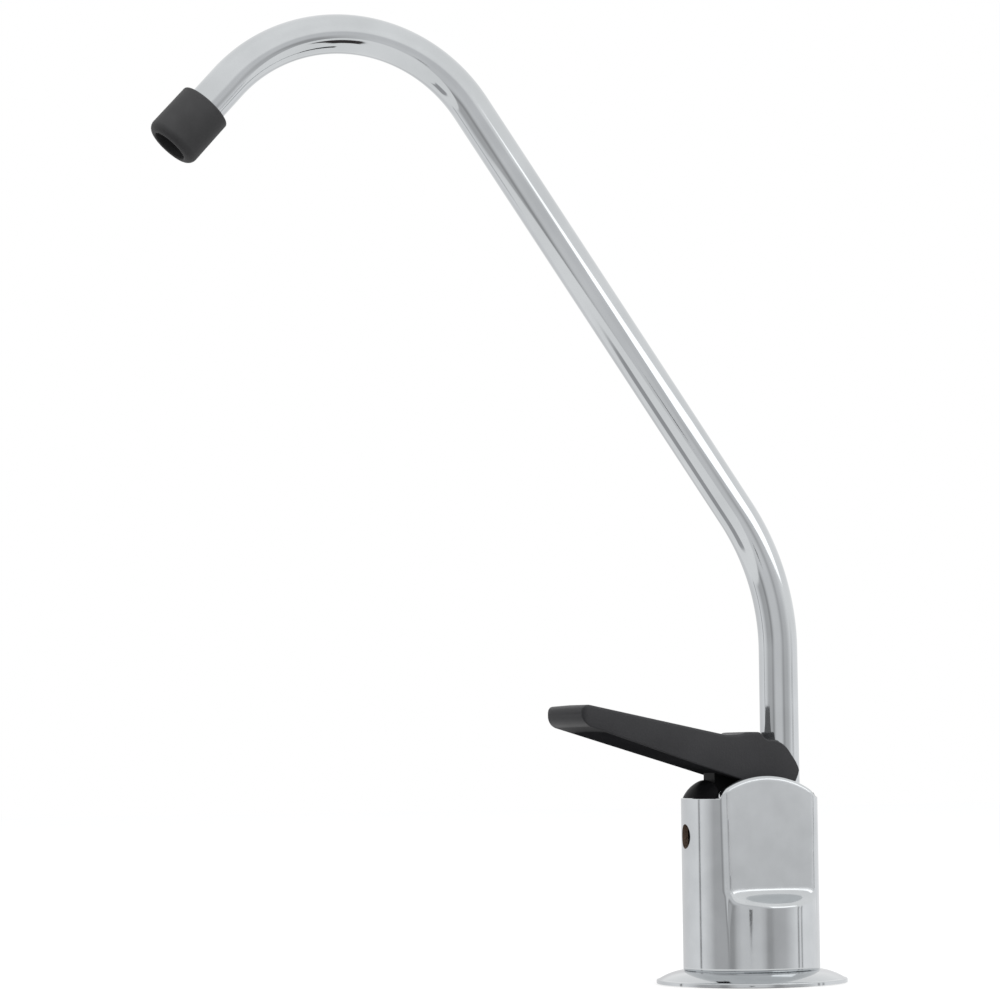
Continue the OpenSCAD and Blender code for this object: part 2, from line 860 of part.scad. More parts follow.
module seat_washer() {
    color(RUBBER)
        translate([0, valve_y, disc_top])
            pipe(washer_d / 2, neck_d / 2 + fit_gap, washer_t);
}

// Coil of round wire as one unbroken tube
module stem_spring() {
    rings = spring_turns * spring_rings;
    points = [for (i = [0 : rings]) each coil_ring(i / rings)];
    walls = [for (i = [0 : rings - 1], k = [0 : spring_sides - 1])
        let (a = i * spring_sides + k, b = i * spring_sides + (k + 1) % spring_sides)
        each [[a, a + spring_sides, b], [b, a + spring_sides, b + spring_sides]]];
    first = [for (k = [1 : spring_sides - 2]) [0, k, k + 1]];
    last_at = rings * spring_sides;
    last = [for (k = [1 : spring_sides - 2]) [last_at, last_at + k + 1, last_at + k]];
    color(STEEL)
        translate([0, valve_y, 0])
            polyhedron(points = points, faces = concat(first, walls, last));
}

// Tray with the waste riser, the drain cup and their barbs
module air_gap_base() {
    color(BLACK)
        difference() {
            union() {
                translate([0, 0, plate_h])
                    cylinder(r = shell_in - free_gap, h = tray_t);
                translate([-riser_off, 0, -barb_drop])
                    barbed(waste_barb_d, barb_drop + tray_top);
                translate([-riser_off, 0, plate_h])
                    cylinder(d = riser_d, h = tray_t + riser_h);
                translate([drain_off, 0, -barb_drop])
                    barbed(drain_barb_d, barb_drop + tray_top);
                translate([drain_off, 0, plate_h])
                    cylinder(d = drain_d, h = tray_t + drain_h);
            }
            translate([-riser_off, 0, -far])
                cylinder(d = riser_bore_d, h = 2 * far);
            translate([drain_off, 0, -far])
                cylinder(d = drain_bore_d, h = 2 * far);
            translate([0, 0, -over])
                cylinder(r = shank_r + free_gap, h = far);
        }
}

// Hose tail with three ridges at its lower end
module barbed(d, h) {
    ridge_h = 2.2;
    ridge_w = 0.35;
    cylinder(d = d, h = h);
    for (i = [0 : 2])
        translate([0, 0, i * ridge_h])
            cylinder(r1 = d / 2, r2 = d / 2 + ridge_w, h = ridge_h - ridge_w);
}

// Half section of the plate's outside, shrunk by the metal for its inside
module plate_section(inset) {
    intersection() {
        union() {
            translate([0, -over])
                square([body_d / 2 - inset, plate_h + over - inset]);
            translate(crown_mid)
                intersection() {
                    circle(r = plate_crown_r - inset);
                    translate([body_d / 2 - inset, -over] - crown_mid)
                        square([plate_d / 2 - body_d / 2, plate_h + over]);
                }
        }
        translate([0, -over])
            square([plate_d / 2 - inset, plate_h + over - inset]);
    }
}

module escutcheon() {
    color(CHROME)
        difference() {
            rotate_extrude()
                difference() {
                    plate_section(0);
                    plate_section(plate_t);
                    translate([0, -far])
                        square([far, far + gasket_proud]);
                }
            cylinder(r = shank_r + free_gap, h = far);
            translate([-riser_off, 0, 0])
                cylinder(d = waste_barb_d + 4 * free_gap, h = far);
            translate([drain_off, 0, 0])
                cylinder(d = drain_barb_d + 4 * free_gap, h = far);
        }
}

module base_gasket() {
    inner_r = drain_off + drain_barb_d / 2 + 2 * free_gap;
    step = 1.2;
    skirt_h = plate_h - plate_t - step;
    color(RUBBER)
        difference() {
            union() {
                cylinder(r = body_d / 2 - plate_t, h = plate_h - plate_t);
                cylinder(d = gasket_d, h = skirt_h);
            }
            translate([0, 0, -over])
                cylinder(r = inner_r, h = far);
        }
}

module shank() {
    color(BRASS)
        difference() {
            translate([0, 0, -shank_drop])
                cylinder(r = shank_r - fit_gap, h = shank_drop + tray_top + shank_in - fit_gap);
            translate([0, 0, -shank_drop - over])
                cylinder(d = shank_bore_d, h = 2 * far);
            translate([0, 0, -shank_drop - over])
                cylinder(d = supply_d, h = over + ferrule_len);
        }
}

// Washer under the worktop, with notches for the two hoses
module locating_washer() {
    hose_w = 9;
    color(BLACK)
        translate([0, 0, -worktop_t - locator_t])
            difference() {
                cylinder(d = locator_d, h = locator_t);
                translate([0, 0, -over])
                    cylinder(r = shank_r + free_gap / 2, h = locator_t + 2 * over);
                for (side = [[-1, riser_off], [1, drain_off]])
                    translate([side[0] * side[1], 0, -over])
                        union() {
                            cylinder(d = hose_w, h = locator_t + 2 * over);
                            translate([side[0] < 0 ? -far : 0, -hose_w / 2, 0])
                                cube([far, hose_w, locator_t + 2 * over]);
                        }
            }
}

// Toothed washer
module lock_washer() {
    teeth = 12;
    tooth_w = 1.4;
    color(STEEL)
        translate([0, 0, -worktop_t - locator_t - lock_t])
            difference() {
                pipe(lock_d / 2, shank_r + free_gap / 2, lock_t);
                for (i = [0 : teeth - 1])
                    rotate([0, 0, 360 * i / teeth])
                        translate([lock_d / 2 - tooth_w, -tooth_w / 2, -over])
                            cube([far, tooth_w, lock_t + 2 * over]);
            }
}

module mounting_nut() {
    color(BRASS)
        translate([0, 0, -worktop_t - locator_t - lock_t - nut_h])
            difference() {
                hex_bar(nut_af, nut_h);
                translate([0, 0, -over])
                    cylinder(r = shank_r + fit_gap, h = nut_h + 2 * over);
            }
}

// Nut of the supply tube's compression joint
module inlet_nut() {
    color(BRASS)
        translate([0, 0, -shank_drop - inlet_tail])
            difference() {
                hex_bar(inlet_af, inlet_tail + inlet_grip);
                translate([0, 0, -over])
                    cylinder(d = supply_d, h = far);
                translate([0, 0, inlet_tail - ferrule_len])
                    cylinder(r = shank_r + fit_gap, h = far);
            }
}

module inlet_ferrule() {
    color(BRASS)
        translate([0, 0, -shank_drop - ferrule_len])
            pipe(ferrule_d / 2, supply_d / 2, ferrule_len);
}

spout_tube();
spout_tip();
spout_foot();
spout_o_rings();
spout_clip();
lever();
lever_pin();
bonnet();
bonnet_screws();
body_shell();
valve_body();
gland();
gland_o_ring();
stem_o_ring();
valve_stem();
seat_washer();
valve_seat();
seat_o_ring();
stem_spring();
air_gap_base();
escutcheon();
base_gasket();
shank();
locating_washer();
lock_washer();
mounting_nut();
inlet_nut();
inlet_ferrule();
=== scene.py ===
import math
import bpy
import bmesh
from mathutils import Matrix, Vector
from mathutils.kdtree import KDTree


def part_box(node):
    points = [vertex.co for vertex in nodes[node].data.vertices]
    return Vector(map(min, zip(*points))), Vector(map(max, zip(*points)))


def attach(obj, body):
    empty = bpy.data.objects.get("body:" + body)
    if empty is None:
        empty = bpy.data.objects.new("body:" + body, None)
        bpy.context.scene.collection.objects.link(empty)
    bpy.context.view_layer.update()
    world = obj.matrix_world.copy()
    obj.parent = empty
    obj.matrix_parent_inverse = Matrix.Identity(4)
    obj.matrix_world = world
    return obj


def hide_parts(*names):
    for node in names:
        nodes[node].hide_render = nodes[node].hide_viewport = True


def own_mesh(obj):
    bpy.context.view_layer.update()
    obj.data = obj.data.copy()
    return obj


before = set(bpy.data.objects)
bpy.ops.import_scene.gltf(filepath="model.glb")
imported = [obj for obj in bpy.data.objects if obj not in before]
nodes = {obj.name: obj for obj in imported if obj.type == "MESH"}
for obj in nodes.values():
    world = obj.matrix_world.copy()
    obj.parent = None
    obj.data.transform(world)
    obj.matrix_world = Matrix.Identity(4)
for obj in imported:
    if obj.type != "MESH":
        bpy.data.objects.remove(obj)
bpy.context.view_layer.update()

mm = 0.001


# Shank: the brass tail that goes down through the worktop, screw-cut along its length.
# Turned from bar, bored through for the water, and screwed into the water block above.
def linear(code):
    """A colour in sRGB hex as linear values with full cover."""
    parts = [int(code[i:i + 2], 16) / 255 for i in (1, 3, 5)]
    return tuple(v / 12.92 if v <= 0.04045 else ((v + 0.055) / 1.055) ** 2.4 for v in parts) + (1.0,)


def add(tree, kind, inputs=None, stops=(), **settings):
    """One node with its settings, its colour stops, and its inputs as values or as links."""
    node = tree.nodes.new(kind)
    for field, value in settings.items():
        setattr(node, field, value)
    for name, value in (inputs or {}).items():
        if isinstance(value, bpy.types.NodeSocket):
            tree.links.new(value, node.inputs[name])
        else:
            node.inputs[name].default_value = value
    for _ in stops[2:]:
        node.color_ramp.elements.new(0.5)
    for i, (position, colour) in enumerate(stops):
        node.color_ramp.elements[i].position = position
        node.color_ramp.elements[i].color = colour
    return node


def start_finish(name):
    """A new material with an empty tree and the Object coordinates of its piece."""
    finish = bpy.data.materials.new(name)
    finish.use_nodes = True
    tree = finish.node_tree
    tree.nodes.clear()
    return finish, tree, add(tree, "ShaderNodeTexCoord").outputs["Object"]


def tones(first, second):
    """Two hex colours as the stops of a ramp, with a plain run at each end."""
    return (0.3, linear(first)), (0.7, linear(second))


def arc_corners(corners, steps=6):
    """A closed outline from (across, up, radius) corners, each turned into an arc."""
    outline = []
    for i, (across, up, radius) in enumerate(corners):
        here = Vector((across, up))
        if radius == 0:
            outline.append(here)
            continue
        back = (Vector(corners[i - 1][:2]) - here).normalized()
        on = (Vector(corners[(i + 1) % len(corners)][:2]) - here).normalized()
        half = back.angle(on) / 2
        middle = here + (back + on).normalized() * radius / math.sin(half)
        first = here + back * radius / math.tan(half) - middle
        last = here + on * radius / math.tan(half) - middle
        turn = math.atan2(first.x * last.y - first.y * last.x, first.dot(last))
        for k in range(steps + 1):
            outline.append(middle + Matrix.Rotation(turn * k / steps, 2) @ first)
    return outline


def make_piece(name, points, faces, finish):
    """A closed smooth mesh at the origin from points in millimetres, with its faces outward."""
    mesh = bpy.data.meshes.new(name)
    mesh.from_pydata([Vector(p) * mm for p in points], [], faces)
    shape = bmesh.new()
    shape.from_mesh(mesh)
    bmesh.ops.recalc_face_normals(shape, faces=shape.faces)
    shape.to_mesh(mesh)
    shape.free()
    mesh.materials.append(finish)
    piece = bpy.data.objects.new(name, mesh)
    bpy.context.scene.collection.objects.link(piece)
    smooth(piece)
    return piece


def smooth(piece, angle=40):
    piece.data.shade_smooth()
    piece.data.set_sharp_from_angle(angle=math.radians(angle))


def revolve(name, outline, sides, finish, place=Matrix.Identity(4)):
    """A ring turned from a closed outline of (radius, height), in millimetres."""
    count = len(outline)
    points = []
    for i in range(sides):
        turn = Matrix.Rotation(2 * math.pi * i / sides, 4, "Z")
        points += [place @ turn @ Vector((r, 0, z)) for r, z in outline]
    faces = []
    for i in range(sides):
        a, b = i * count, (i + 1) % sides * count
        faces += [(a + k, b + k, b + (k + 1) % count, a + (k + 1) % count) for k in range(count)]
    return make_piece(name, points, faces, finish)


bar_tree = bpy.data.node_groups.new("round_bar_on_a_path", "GeometryNodeTree")
bar_face = bar_tree.interface
bar_face.new_socket("Path", in_out="INPUT", socket_type="NodeSocketGeometry")
bar_sockets = {
    "radius": bar_face.new_socket("Bar radius", in_out="INPUT", socket_type="NodeSocketFloat"),
    "sides": bar_face.new_socket("Sides", in_out="INPUT", socket_type="NodeSocketInt"),
    "closed": bar_face.new_socket("Closed ends", in_out="INPUT", socket_type="NodeSocketBool"),
    "finish": bar_face.new_socket("Finish", in_out="INPUT", socket_type="NodeSocketMaterial")}
bar_face.new_socket("Bar", in_out="OUTPUT", socket_type="NodeSocketGeometry")
bar_in = add(bar_tree, "NodeGroupInput").outputs
bar_line = add(bar_tree, "GeometryNodeMeshToCurve", {"Mesh": bar_in["Path"]})
bar_ring = add(bar_tree, "GeometryNodeCurvePrimitiveCircle", {
    "Resolution": bar_in["Sides"], "Radius": bar_in["Bar radius"]})
bar_skin = add(bar_tree, "GeometryNodeCurveToMesh", {
    "Curve": bar_line.outputs["Curve"], "Profile Curve": bar_ring.outputs["Curve"],
    "Fill Caps": bar_in["Closed ends"]})
bar_real = add(bar_tree, "GeometryNodeRealizeInstances", {"Geometry": bar_skin.outputs["Mesh"]})
bar_paint = add(bar_tree, "GeometryNodeSetMaterial", {
    "Geometry": bar_real.outputs["Geometry"], "Material": bar_in["Finish"]})
add(bar_tree, "NodeGroupOutput", {"Bar": bar_paint.outputs["Geometry"]})


def settle(piece):
    """Turns a piece and its modifiers into a plain mesh."""
    bpy.context.view_layer.update()
    depsgraph = bpy.context.evaluated_depsgraph_get()
    mesh = bpy.data.meshes.new_from_object(piece.evaluated_get(depsgraph), depsgraph=depsgraph)
    mesh.name = piece.name
    piece.modifiers.clear()
    piece.data = mesh


def round_bar(name, path, radius, sides, finish, closed=True, wall=0):
    """A round bar along points in millimetres, or a tube where it has a wall."""
    mesh = bpy.data.meshes.new(name)
    mesh.from_pydata([Vector(p) * mm for p in path], [(i, i + 1) for i in range(len(path) - 1)], [])
    bar = bpy.data.objects.new(name, mesh)
    bpy.context.scene.collection.objects.link(bar)
    sweep = bar.modifiers.new("sweep", "NODES")
    sweep.node_group = bar_tree
    values = {"radius": radius * mm, "sides": sides, "closed": closed, "finish": finish}
    for key, value in values.items():
        sweep[bar_sockets[key].identifier] = value
    if wall:
        skin = bar.modifiers.new("wall", "SOLIDIFY")
        skin.thickness = wall * mm
        skin.offset = -1
    settle(bar)
    shape = bmesh.new()
    shape.from_mesh(bar.data)
    bmesh.ops.recalc_face_normals(shape, faces=shape.faces)
    shape.to_mesh(bar.data)
    shape.free()
    smooth(bar)
    return bar


def join(first, *others):
    """Puts the meshes of several pieces into the first."""
    shape = bmesh.new()
    for piece in (first, *others):
        shape.from_mesh(piece.data)
    shape.to_mesh(first.data)
    shape.free()
    for piece in others:
        bpy.data.objects.remove(piece)


# Turned brass: a yellow metal with fine rings from the tool and a slightly duller skin in patches.
# The tool's rings are about 0.1 mm apart and are drawn at 0.4 mm, so that they show.
ring_pitch = 0.4
brass, tree, place = start_finish("turned_brass")
patches = add(tree, "ShaderNodeTexNoise", {"Vector": place, "Scale": 1 / (6 * mm), "Detail": 3.0})
rings = add(tree, "ShaderNodeTexWave", {
    "Vector": place, "Scale": 0.5 / (ring_pitch * mm) / math.pi, "Distortion": 0.6}, bands_direction="Z")
ring_bump = add(tree, "ShaderNodeBump", {
    "Height": rings.outputs["Fac"], "Strength": 0.12, "Distance": 0.02 * mm})
dull = add(tree, "ShaderNodeMapRange", {
    "Value": patches.outputs["Fac"], "To Min": 0.22, "To Max": 0.38})
tone = add(tree, "ShaderNodeValToRGB", {"Fac": patches.outputs["Fac"]}, tones("#C9A85E", "#DBBD78"))
surface = add(tree, "ShaderNodeBsdfPrincipled", {
    "Base Color": tone.outputs["Color"], "Metallic": 1.0,
    "Roughness": dull.outputs["Result"], "Normal": ring_bump.outputs["Normal"]})
add(tree, "ShaderNodeOutputMaterial", {"Surface": surface.outputs["BSDF"]})

shank_r = 5.53
shank_low = -48.0
shank_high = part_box("shank")[1][2] / mm
shank_bore_r = 3.0
supply_r, supply_depth = 3.25, 4.0
thread_pitch = 1.06
thread_depth = 0.5
thread_low, thread_high = -47.2, -1.0
shank = revolve("shank_turned", arc_corners([
    (supply_r, shank_low, 0.2), (shank_r - thread_depth, shank_low, 0.3),
    (shank_r - thread_depth, thread_high, 0), (shank_r, thread_high + thread_depth, 0),
    (shank_r, shank_high, 0.2), (shank_bore_r, shank_high, 0.2),
    (shank_bore_r, shank_low + supply_depth, 0), (supply_r, shank_low + supply_depth, 0)], 3), 64, brass)
thread_turns = (thread_high - thread_low) / thread_pitch
thread_steps = int(thread_turns * 24)
thread_crest_r = thread_depth * 0.9
thread_mid = shank_r - thread_crest_r
thread_path = []
for i in range(thread_steps + 1):
    angle = 2 * math.pi * thread_turns * i / thread_steps
    thread_path.append((thread_mid * math.cos(angle), thread_mid * math.sin(angle),
                        thread_low + thread_pitch * thread_turns * i / thread_steps))
thread = round_bar("shank_thread", thread_path, thread_crest_r, 6, brass)
join(shank, thread)
smooth(shank)
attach(shank, "base")
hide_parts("shank")


# Base plate: a shallow chrome-plated dish that covers the hole in the worktop.
# Pressed from sheet, polished and plated, and held down by the shell that stands on it.
# Chromium plate mirrors what stands round it, and is a little blue and darker than silver.
# Polishing leaves faint lines, about 0.05 mm apart and drawn at 0.6 mm, and a soft haze in patches.
polish_pitch = 0.6
chrome_plate, tree, place = start_finish("chrome_plate_polished")
haze = add(tree, "ShaderNodeTexNoise", {"Vector": place, "Scale": 1 / (9 * mm), "Detail": 4.0})
polish = add(tree, "ShaderNodeTexNoise", {
    "Vector": place, "Scale": 1 / (polish_pitch * mm), "Detail": 2.0})
polish_bump = add(tree, "ShaderNodeBump", {
    "Height": polish.outputs["Fac"], "Strength": 0.05, "Distance": 0.01 * mm})
gloss = add(tree, "ShaderNodeMapRange", {
    "Value": haze.outputs["Fac"], "To Min": 0.05, "To Max": 0.11})
tone = add(tree, "ShaderNodeValToRGB", {"Fac": haze.outputs["Fac"]}, tones("#C3C6C8", "#CBCED0"))
surface = add(tree, "ShaderNodeBsdfPrincipled", {
    "Base Color": tone.outputs["Color"], "Metallic": 1.0,
    "Roughness": gloss.outputs["Result"], "Normal": polish_bump.outputs["Normal"]})
add(tree, "ShaderNodeOutputMaterial", {"Surface": surface.outputs["BSDF"]})


def cut(piece, tool, kind="DIFFERENCE"):
    """Cuts a piece with a tool, or joins them, and takes the tool away."""
    saw = piece.modifiers.new("cut", "BOOLEAN")
    saw.operation = kind
    saw.solver = "EXACT"
    saw.material_mode = "TRANSFER"
    saw.object = tool
    settle(piece)
    bpy.data.objects.remove(tool)


def drill(radius, low, high, place=Matrix.Identity(4), sides=64, finish=None):
    """A plain round tool from one height to another."""
    ring = [(radius * math.cos(2 * math.pi * i / sides), radius * math.sin(2 * math.pi * i / sides))
            for i in range(sides)]
    points = [place @ Vector((x, y, z)) for z in (low, high) for x, y in ring]
    faces = [tuple(range(sides)), tuple(range(sides, 2 * sides))]
    faces += [(i, (i + 1) % sides, sides + (i + 1) % sides, sides + i) for i in range(sides)]
    return make_piece("tool", points, faces, finish)


plate_r, plate_top, plate_low, plate_edge = 23.3, 3.4, 0.3, 0.9
body_r, plate_metal = 16.7, 1.0
plate_hole_r = 5.85
crown_r = 14.0
crown_mid = Vector((15.2, -10.52))
crown_from = math.atan2(plate_top - crown_mid.y, body_r - crown_mid.x)
crown_to = math.atan2(plate_edge - crown_mid.y, plate_r - crown_mid.x)
crown_steps = 24
edge_round = 0.35
outer_line = []
inner_line = []
for i in range(crown_steps + 1):
    angle = crown_from + (crown_to - crown_from) * i / crown_steps
    ray = Vector((math.cos(angle), math.sin(angle)))
    outer_line.append(crown_mid + ray * crown_r)
    inner_line.append(crown_mid + ray * (crown_r - plate_metal))
outer_line = [p for p in outer_line if p.x < plate_r - edge_round]
inner_line = [p for p in inner_line if p.x < plate_r - plate_metal]
edge_high = outer_line[-1].y
plate_outline = [Vector((plate_hole_r, plate_top))] + outer_line
for k in range(1, 6):
    angle = math.radians(60 - 12 * k)
    plate_outline.append(Vector((plate_r - edge_round + edge_round * math.cos(angle),
                                 edge_high - edge_round * 0.9 + edge_round * math.sin(angle))))
plate_outline += [Vector((plate_r, plate_low)), Vector((plate_r - plate_metal, plate_low))]
plate_outline += inner_line[::-1] + [Vector((plate_hole_r, plate_top - plate_metal))]
base_plate = revolve("base_plate", plate_outline, 128, chrome_plate)
waste_hole, drain_hole = (-10.6, 3.0), (11.2, 4.05)
for hose_x, hole_r in (waste_hole, drain_hole):
    cut(base_plate, drill(hole_r, -5, 10, Matrix.Translation((hose_x, 0, 0)), 48, chrome_plate))
smooth(base_plate, 30)
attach(base_plate, "base")
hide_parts("escutcheon")


# Gasket and seals: soft black rings between the plate and the worktop and round the water ways.
# Moulded nitrile rubber, held by being squeezed between the metal parts.
# Nitrile is a dull grey-black with a powdery bloom, and its grain of 0.1 mm is drawn at 0.5 mm.
rubber, tree, place = start_finish("nitrile_rubber_moulded")
bloom = add(tree, "ShaderNodeTexNoise", {"Vector": place, "Scale": 1 / (4 * mm), "Detail": 4.0})
grain = add(tree, "ShaderNodeTexNoise", {"Vector": place, "Scale": 1 / (0.5 * mm), "Detail": 2.0})
grain_bump = add(tree, "ShaderNodeBump", {
    "Height": grain.outputs["Fac"], "Strength": 0.3, "Distance": 0.05 * mm})
tone = add(tree, "ShaderNodeValToRGB", {"Fac": bloom.outputs["Fac"]}, tones("#1B1B1C", "#272728"))
surface = add(tree, "ShaderNodeBsdfPrincipled", {
    "Base Color": tone.outputs["Color"], "Roughness": 0.72,
    "Normal": grain_bump.outputs["Normal"]})
add(tree, "ShaderNodeOutputMaterial", {"Surface": surface.outputs["BSDF"]})


def dress(finish, *names):
    """Gives CAD nodes a finish."""
    for name in names:
        nodes[name].data.materials.clear()
        nodes[name].data.materials.append(finish)


dress(rubber, "base_gasket", "gland_o_ring", "stem_o_ring", "seat_o_ring", "spout_o_rings", "seat_washer")


# Locating washer, air-gap tray: stiff black mouldings under the worktop and behind the vent.
# Both are moulded in black plastic; the tray carries the two hose barbs.
# Moulded black plastic has an even, satin, very dark grey skin from a sparked mould; its reflection is cut on
# faces that point down and to the front, as painted shade.
# The mould's grain of 0.15 mm is drawn at 0.55 mm, so that it shows.
mould_grain = 0.55
black_plastic, tree, place = start_finish("black_acetal_sparked_mould")
flow = add(tree, "ShaderNodeTexNoise", {"Vector": place, "Scale": 1 / (11 * mm), "Detail": 3.0})
spark = add(tree, "ShaderNodeTexNoise", {
    "Vector": place, "Scale": 1 / (mould_grain * mm), "Detail": 3.0, "Roughness": 0.6})
spark_bump = add(tree, "ShaderNodeBump", {
    "Height": spark.outputs["Fac"], "Strength": 0.6, "Distance": 0.06 * mm})
satin = add(tree, "ShaderNodeMapRange", {
    "Value": flow.outputs["Fac"], "To Min": 0.42, "To Max": 0.56})
facing = add(tree, "ShaderNodeSeparateXYZ", {"Vector": add(tree, "ShaderNodeTexCoord").outputs["Normal"]})
# Painted shade: the reflection is turned off on faces that point down and turned low on faces that point to
# the front, so these sides read darker.
under_painted_shade = add(tree, "ShaderNodeMapRange", {
    "Value": facing.outputs["Z"], "From Min": -0.93, "From Max": -0.75, "To Min": 0.0, "To Max": 0.25})
front_painted_shade = add(tree, "ShaderNodeMapRange", {
    "Value": facing.outputs["Y"], "From Min": -0.95, "From Max": -0.5, "To Min": 0.25, "To Max": 1.0})
reflection_with_painted_shade = add(tree, "ShaderNodeMath", {
    0: under_painted_shade.outputs["Result"], 1: front_painted_shade.outputs["Result"]}, operation="MULTIPLY")
tone = add(tree, "ShaderNodeValToRGB", {"Fac": flow.outputs["Fac"]}, tones("#2F2F31", "#363638"))
surface = add(tree, "ShaderNodeBsdfPrincipled", {
    "Base Color": tone.outputs["Color"],
    "Roughness": satin.outputs["Result"], "Specular IOR Level": reflection_with_painted_shade.outputs["Value"],
    "Normal": spark_bump.outputs["Normal"]})
add(tree, "ShaderNodeOutputMaterial", {"Surface": surface.outputs["BSDF"]})
dress(black_plastic, "locating_washer", "air_gap_base")


# Lock washer, clip, screws and pin: a stamping, a bent wire ring, two six-sided screws and a plain pin.
# Stainless steel, bright from rolling and drawing, with a faint mottle that is drawn at 1 mm.
steel, tree, place = start_finish("stainless_steel_drawn")
mottle = add(tree, "ShaderNodeTexVoronoi", {"Vector": place, "Scale": 1 / (1 * mm)})
shade = add(tree, "ShaderNodeMapRange", {
    "Value": mottle.outputs["Distance"], "To Min": 0.28, "To Max": 0.42})
tone = add(tree, "ShaderNodeValToRGB", {"Fac": mottle.outputs["Distance"]}, tones("#B9BCBE", "#A9ADB0"))
surface = add(tree, "ShaderNodeBsdfPrincipled", {
    "Base Color": tone.outputs["Color"], "Metallic": 1.0,
    "Roughness": shade.outputs["Result"]})
add(tree, "ShaderNodeOutputMaterial", {"Surface": surface.outputs["BSDF"]})
dress(steel, "lock_washer", "spout_clip", "bonnet_screws", "lever_pin")


# Nuts: two six-sided brass nuts, one that pulls the tap down and one that squeezes the ferrule.
# Cut from hexagon bar, with the corners turned off at both faces.
def hex_nut(name, flats, low, high, bores):
    """A nut with turned corners, and its bores as (radius, from, to) in millimetres."""
    corner_r = flats / 2 / math.cos(math.pi / 6)
    points = []
    for z in (low, high):
        points += [(corner_r * math.cos(math.pi / 3 * k), corner_r * math.sin(math.pi / 3 * k), z)
                   for k in range(6)]
    faces = [tuple(range(6)), tuple(range(6, 12))]
    faces += [(k, (k + 1) % 6, 6 + (k + 1) % 6, 6 + k) for k in range(6)]
    nut = make_piece(name, points, faces, brass)
    chamfer = corner_r - flats / 2
    fall = chamfer * math.tan(math.radians(30))
    core_r = 0.2
    turned = revolve("tool", [
        Vector((core_r, low)), Vector((flats / 2, low)), Vector((corner_r + 0.01, low + fall)),
        Vector((corner_r + 0.01, high - fall)), Vector((flats / 2, high)), Vector((core_r, high))], 72, brass)
    cut(nut, turned, "INTERSECT")
    for radius, start, stop in bores:
        cut(nut, drill(radius, start, stop, finish=brass))
    smooth(nut, 20)
    return nut


bar_flats, thread_hole_r, supply_hole_r = 15.9, 5.57, 3.25
mounting_low, mounting_high = -26.0, -20.0
mounting_nut = hex_nut("mounting_nut_turned", bar_flats, mounting_low, mounting_high,
                       [(thread_hole_r, mounting_low - 4, mounting_high + 10)])
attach(mounting_nut, "base")
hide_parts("mounting_nut")
inlet_low, inlet_high, inlet_step = -57.0, -41.0, -52.0
inlet_past = inlet_high + 11
inlet_nut = hex_nut("inlet_nut_turned", bar_flats, inlet_low, inlet_high,
                    [(supply_hole_r, inlet_low - 3, inlet_past), (thread_hole_r, inlet_step, inlet_past)])
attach(inlet_nut, "base")
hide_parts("inlet_nut")
dress(brass, "inlet_ferrule", "valve_seat", "gland", "valve_stem", "spout_foot")


# Water block: the moulded body inside the shell, with the valve's bore and the spout's socket.
# Natural acetal: an off-white, slightly waxy plastic with faint flow marks.
acetal, tree, place = start_finish("natural_acetal_moulded")
marks = add(tree, "ShaderNodeTexNoise", {"Vector": place, "Scale": 1 / (5 * mm), "Detail": 3.0})
skin = add(tree, "ShaderNodeMapRange", {
    "Value": marks.outputs["Fac"], "To Min": 0.32, "To Max": 0.48})
tone = add(tree, "ShaderNodeValToRGB", {"Fac": marks.outputs["Fac"]}, tones("#DCD9CF", "#E6E3DA"))
surface = add(tree, "ShaderNodeBsdfPrincipled", {
    "Base Color": tone.outputs["Color"],
    "Roughness": skin.outputs["Result"]})
add(tree, "ShaderNodeOutputMaterial", {"Surface": surface.outputs["BSDF"]})
dress(acetal, "valve_body")


# Return spring: a coil of round wire under the stem's disc that pushes the valve shut.
# Wound from hard-drawn steel wire, with its lower end standing on the chamber's floor.
spring_low, spring_high = (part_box("stem_spring")[k][2] / mm for k in (0, 1))
wire_r = 0.35
coil_r = 3.05
coil_turns = 4.0
valve_y = -5.2
coil_steps = 160
coil_path = []
for i in range(coil_steps + 1):
    angle = 2 * math.pi * coil_turns * i / coil_steps
    coil_path.append((coil_r * math.cos(angle), valve_y + coil_r * math.sin(angle),
                      spring_low + wire_r + (spring_high - spring_low - 2 * wire_r) * i / coil_steps))
stem_coil = round_bar("stem_spring_coil", coil_path, wire_r, 12, steel)
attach(stem_coil, "base")
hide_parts("stem_spring")
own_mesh(stem_coil)


# Bonnet: the black domed top inside the shell, with two lugs for the lever's pin.
# Moulded in the same black plastic as the lever, and held by two screws from below.
# It is drawn blacker than the lever and with almost no reflection, as painted shade from the lever above it;
# its flow marks are about 6 mm.
painted_shade_black, tree, place = start_finish("black_acetal_painted_shade")
flow = add(tree, "ShaderNodeTexNoise", {"Vector": place, "Scale": 1 / (6 * mm), "Detail": 3.0})
smoothness = add(tree, "ShaderNodeMapRange", {
    "Value": flow.outputs["Fac"], "To Min": 0.34, "To Max": 0.46})
# Painted shade: a darker tone than the lever's and almost no reflection, for the shadow under the lever.
tone = add(tree, "ShaderNodeValToRGB", {"Fac": flow.outputs["Fac"]}, tones("#161617", "#1C1C1D"))
surface = add(tree, "ShaderNodeBsdfPrincipled", {
    "Base Color": tone.outputs["Color"],
    "Roughness": smoothness.outputs["Result"], "Specular IOR Level": 0.02})
add(tree, "ShaderNodeOutputMaterial", {"Surface": surface.outputs["BSDF"]})
dress(painted_shade_black, "bonnet")


